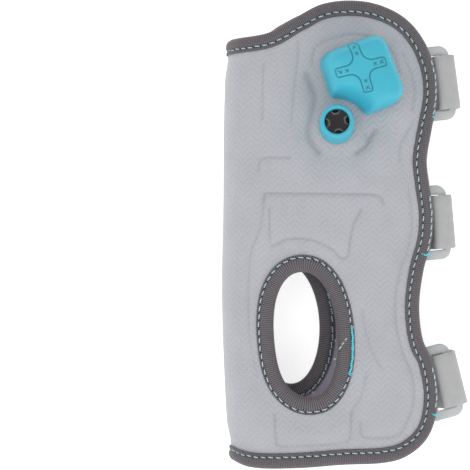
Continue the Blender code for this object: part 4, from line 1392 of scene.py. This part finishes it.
def make_bulb():
    own = rows_beside([(line, MM) for line in marks], (-0.5, -0.23, 0, 0.23, 0.5))
    step = 0.65 * MM
    ticks = np.arange(-21 * MM, 21 * MM, step)
    grid = np.array([(x + step / 2 * (k % 2), y) for k, y in enumerate(ticks) for x in ticks])
    grid = clear_of(grid, own, 0.45 * MM)
    rim_line = bulb_level(*SIDES[-1][1:])
    free = np.concatenate([own, grid])
    free = free[is_inside(rim_line, free) & (distance_to(rim_line, free, closed=True) > 0.35 * MM)]
    flat = np.concatenate([rim_line, free])
    edges = [(k, (k + 1) % len(rim_line)) for k in range(len(rim_line))]
    points, triangles = triangulated(flat, edges, lambda middles: is_inside(rim_line, middles))
    height, shade_share = bulb_crown(points)
    mesh = bmesh.new()
    # A point attribute that carries the painted shade of the engraving.
    shown = mesh.verts.layers.float.new("groove_shade")
    top = [mesh.verts.new((p[0], p[1], z)) for p, z in zip(points, height)]
    for vert, value in zip(top, shade_share):
        vert[shown] = float(value)
    for face in triangles:
        mesh.faces.new([top[k] for k in face])
    rings = []
    for share, size, wider in SIDES[:-1]:
        rings.append([mesh.verts.new((x, y, share * PUMP_HEIGHT)) for x, y in bulb_level(size, wider)])
    rings.append(top[: len(outline)])
    face_between(mesh, rings, closed=False)
    mesh.faces.new(rings[0])
    bmesh.ops.delete(mesh, geom=[vert for vert in mesh.verts if not vert.link_faces])
    piece = made_mesh("pump", mesh, silicone)
    piece.data.transform(seat_frame(PUMP_ACROSS, PUMP_ALONG))
    piece.data.set_sharp_from_angle(angle=math.radians(60))
    finish_piece(piece, ["pump_bulb"])


make_bulb()

# %% [markdown]
# ## The valve
# The valve's collar is turned: a cylinder whose top face is inset and sunk in edit mode to make the
# bore, with its rims bevelled. The button in it is a black plug with four flutes, cut by thin cylinders,
# and with a slightly sunk top. Its flutes' edges are marked for a painted highlight in its material.
# Both lean, so their meshes are sheared with one matrix while their feet stay flat on the knit.

# %% The valve's collar
VALVE_TAPER = 0.7 * MM
VALVE_HEIGHT = 17 * MM
VALVE_BORE = 5.8 * MM
VALVE_FLOOR = 5 * MM
VALVE_LEAN = math.tan(math.radians(5))
BUTTON_TRAVEL = 2 * MM
BUTTON_RECESS = 1.6 * MM
lean = Matrix.Identity(4)
lean[0][2], lean[1][2] = -VALVE_LEAN, VALVE_LEAN
VALVE_FRAME = seat_frame(VALVE_ACROSS, VALVE_ALONG) @ lean


def pick_faces(piece, test):
    """Selects the faces that pass a test, in edit mode."""
    bpy.ops.mesh.select_all(action="DESELECT")
    mesh = bmesh.from_edit_mesh(piece.data)
    for face in mesh.faces:
        if test(face):
            face.select_set(True)
    bmesh.update_edit_mesh(piece.data)


def top_face(face):
    return face.normal.z > 0.9 and len(face.verts) > 8


def cylinder(name, radius, low, high, sides):
    """An upright cylinder, left in edit mode with its top face picked."""
    bpy.ops.object.select_all(action="DESELECT")
    middle = (0, 0, (low + high) / 2)
    bpy.ops.mesh.primitive_cylinder_add(vertices=sides, radius=radius, depth=high - low, location=middle)
    made = bpy.context.object
    made.name = name
    bpy.ops.object.transform_apply(location=True, rotation=True, scale=True)
    bpy.ops.object.mode_set(mode="EDIT")
    pick_faces(made, top_face)
    return made


collar = cylinder("valve", VALVE_RADIUS, 0, VALVE_HEIGHT, 72)
shrink = (VALVE_RADIUS - VALVE_TAPER) / VALVE_RADIUS
bpy.ops.transform.resize(value=(shrink, shrink, 1))
bpy.ops.mesh.inset(thickness=VALVE_RADIUS - VALVE_TAPER - VALVE_BORE, use_boundary=True)
bpy.ops.mesh.extrude_region_move(TRANSFORM_OT_translate={"value": (0, 0, VALVE_FLOOR - VALVE_HEIGHT)})
bpy.ops.object.mode_set(mode="OBJECT")
bevel(collar, 1.05 * MM, 6, 50)
painted(collar, VALVE_FRAME, silicone, 45)
finish_piece(collar, ["valve_collar"])

# %% The release button
FLUTE = 2.1 * MM
FLUTE_OUT = 0.5 * MM
FLUTE_DEEP = 3.2 * MM
FLUTE_TURN = math.radians(8)
DISH_IN = 2.4 * MM
DISH_DEEP = 0.35 * MM
GLINT_WIDE = 0.3 * MM
GLINT_DEEP = 0.4 * MM
button_radius = VALVE_BORE - GAP
button_high = VALVE_HEIGHT - BUTTON_RECESS
button = cylinder("fluted_button", button_radius, VALVE_FLOOR + BUTTON_TRAVEL + GAP, button_high, 64)
bpy.ops.mesh.inset(thickness=DISH_IN)
bpy.ops.transform.translate(value=(0, 0, -DISH_DEEP))
bpy.ops.object.mode_set(mode="OBJECT")
turns = np.arange(4) * math.pi / 2 + FLUTE_TURN
flutes = (button_radius + FLUTE_OUT) * np.stack([np.cos(turns), np.sin(turns)], axis=1)
for x, y in flutes:
    at = (x, y, button_high)
    bpy.ops.mesh.primitive_cylinder_add(vertices=24, radius=FLUTE, depth=2 * FLUTE_DEEP, location=at)
    subtract(button, bpy.context.object)
bevel(button, 0.28 * MM, 3, 50)
# The flutes' top edges are marked for a painted highlight.
spots = np.array([tuple(vert.co) for vert in button.data.vertices])
to_flute = np.linalg.norm(spots[:, None, :2] - flutes[None], axis=2).min(1)
glint_edge = (abs(to_flute - FLUTE) < GLINT_WIDE) & (spots[:, 2] > button_high - GLINT_DEEP)
button.data.attributes.new("painted_glint", "FLOAT", "POINT").data.foreach_set("value", glint_edge.astype(float))
painted(button, VALVE_FRAME, black_abs, 35)
finish_piece(button, ["release_button"], body="button")

# %% [markdown]
# ## The ring seams and the knots
# Beside each ring a second row of stitches runs close to the edge and holds the ring's bar. Each row
# is knotted off in bright thread, and so is the tape round the thumb hole, where its two ends overlap.

# %% Second rows
RING_ROWS = [(56, 84), (-9, 19), (-86, -62)]  # from and to along the arm, in mm
edge_line = seam_line("edge", 0.5 * MM)
second = []
for low, high in RING_ROWS:
    near = (edge_line[:, 0] > front_way(0.8)) & (edge_line[:, 1] > low * MM) & (edge_line[:, 1] < high * MM)
    second.append((edge_line[near], 0.42 * MM))
sewn("ring_stitches", second, thread, pitch=3.4 * MM, long=2.7 * MM)


# %% Knots
def along_edge(mm):
    """The pattern place of the open edge at a place along the arm."""
    line = edge_line[edge_line[:, 0] > front_way(0.8)]
    line = line[np.argsort(line[:, 1])]
    return np.array([float(np.interp(mm * MM, line[:, 1], line[:, 0])), mm * MM])


def knot(mesh, middle, wide, high, depth, turns=3, radius=0.13 * MM):
    """A few ends of thread that cross at one spot, and a small loop."""
    t = np.linspace(-1, 1, 12)
    for k in range(turns):
        tilt = 0.5 * math.sin(2.4 * k + 0.6)
        long = wide * MM * (0.75 + 0.25 * math.sin(1.7 * k))
        u = middle[0] + long * t * math.cos(tilt) + 0.2 * MM * math.sin(3.1 * k)
        v = middle[1] + high * MM * (0.6 * math.sin(2.2 * k) + 0.5 * t * t - 0.2) + long * t * math.sin(tilt)
        thread_tube(mesh, placed(u, v, depth - 0.4 * MM * (1 - t * t) - k * 0.1 * MM), radius)
    ring = np.linspace(0, 1.85 * math.pi, 16)
    u, v = middle[0] + 0.5 * high * MM * np.cos(ring), middle[1] + 0.5 * high * MM * np.sin(ring)
    thread_tube(mesh, placed(u, v, np.full(len(ring), depth - 0.25 * MM)), radius)


mesh = bmesh.new()
for place, wide, high, turns in ((-9.4, 3.2, 0.9, 4), (-86.0, 2.2, 0.9, 4), (56.5, 0.9, 0.7, 2)):
    knot(mesh, along_edge(place) + [0.4 * MM, 0], wide, high, 0.35 * MM, turns=turns)
finish_piece(made_mesh("ring_knots", mesh, thread_bright))

# %% The thumb tape's overlap
thumb_loop_line, _, _ = CUTS["front_thumb"]
middle_of_hole = thumb_loop_line.mean(0)
outer_seam = seam_line("front_thumb", THUMB_FRONT_COVER - THUMB_SEAM_IN)[:-1]
right_side = outer_seam[outer_seam[:, 0] > middle_of_hole[0]]
right_side = right_side[np.argsort(-right_side[:, 1])]
lock = right_side[(right_side[:, 1] < -44.5 * MM) & (right_side[:, 1] > -66.5 * MM)] + [0.2 * MM, 0]
mesh = bmesh.new()
cord(mesh, spaced(lock, 1.0 * MM, closed=False), 0.40 * MM, 0.28 * MM, 2.7 * MM)
knot(mesh, lock[0] + [0.1 * MM, 0.9 * MM], 0.9, 1.2, 0.40 * MM, turns=2)
knot(mesh, lock[-1] + [0.2 * MM, -0.3 * MM], 1.5, 0.9, 0.35 * MM, turns=3)
finish_piece(made_mesh("thumb_tape_lockstitch", mesh, thread_bright))
mesh = bmesh.new()
joint_from, joint_to = pattern_line([(59.7, -48.6), (55.3, -54.6)])
sew(mesh, np.linspace(joint_from, joint_to, 12), 0.36 * MM, pitch=2.4 * MM, long=2.0 * MM)
finish_piece(made_mesh("thumb_tape_joint", mesh, thread))

# %% [markdown]
# ## The studio
# The splint lies on a white surface and is photographed from straight above. White surroundings give
# most of the light. A key light stands at the left, and a broad fill light beyond the lower right. A
# long lens keeps the sides from showing much.

# %% Floor, light and camera
WORLD_WHITE = 0.69
bpy.ops.mesh.primitive_plane_add(size=4, location=(0, 0, 0))
floor = bpy.context.object
floor.name = "floor"
floor_paint, _, _ = material(
    "backlit_white_acrylic", "F4F4F4", 0.9, Emission_Color=(1, 1, 1, 1), Emission_Strength=0.65
)
floor.data.materials.append(floor_paint)
floor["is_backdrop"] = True

world = bpy.data.worlds.new("studio")
bpy.context.scene.world = world
world.use_nodes = True
background = world.node_tree.nodes["Background"]
background.inputs["Color"].default_value = (1, 1, 1, 1)
background.inputs["Strength"].default_value = WORLD_WHITE

LIGHTS = [
    # name, place, size, watts
    ("key_light", (-0.5, 0.0, 0.95), 0.6, 2.0),
    ("fill_light", (0.45, -1.0, 0.85), 1.0, 5.4),
]
for name, place, size, watts in LIGHTS:
    lamp = bpy.data.lights.new(name, "AREA")
    lamp.energy, lamp.size = watts, size
    holder = bpy.data.objects.new(name, lamp)
    bpy.context.scene.collection.objects.link(holder)
    holder.location = place
    holder.rotation_euler = (Vector((0, 0, 0.02)) - Vector(place)).to_track_quat("-Z", "Y").to_euler()

SENSOR = 36
CAMERA_HIGH = 0.738
SPLINT_TOP = 0.038
VIEW_MIDDLE = float(ORIGIN[0]) + 6.44 * MM
PHOTO_WIDE = 470 * 0.472 * MM
lens = bpy.data.cameras.new("camera")
lens.sensor_width = SENSOR
lens.lens = SENSOR * (CAMERA_HIGH - SPLINT_TOP) / PHOTO_WIDE
camera = bpy.data.objects.new("camera", lens)
bpy.context.scene.collection.objects.link(camera)
camera.location = (VIEW_MIDDLE, 0, CAMERA_HIGH)
bpy.context.scene.camera = camera
bpy.context.scene.view_settings.view_transform = "Standard"

# %% Write the sizes and finish
bpy.context.view_layer.update()
SEEN_BOX = [[float(c) for c in corner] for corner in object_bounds()]
for name, box in (("solids' box", CAD_BOX), ("dressed box", SEEN_BOX)):
    print(name, np.round(np.array(box) / MM, 1).tolist())
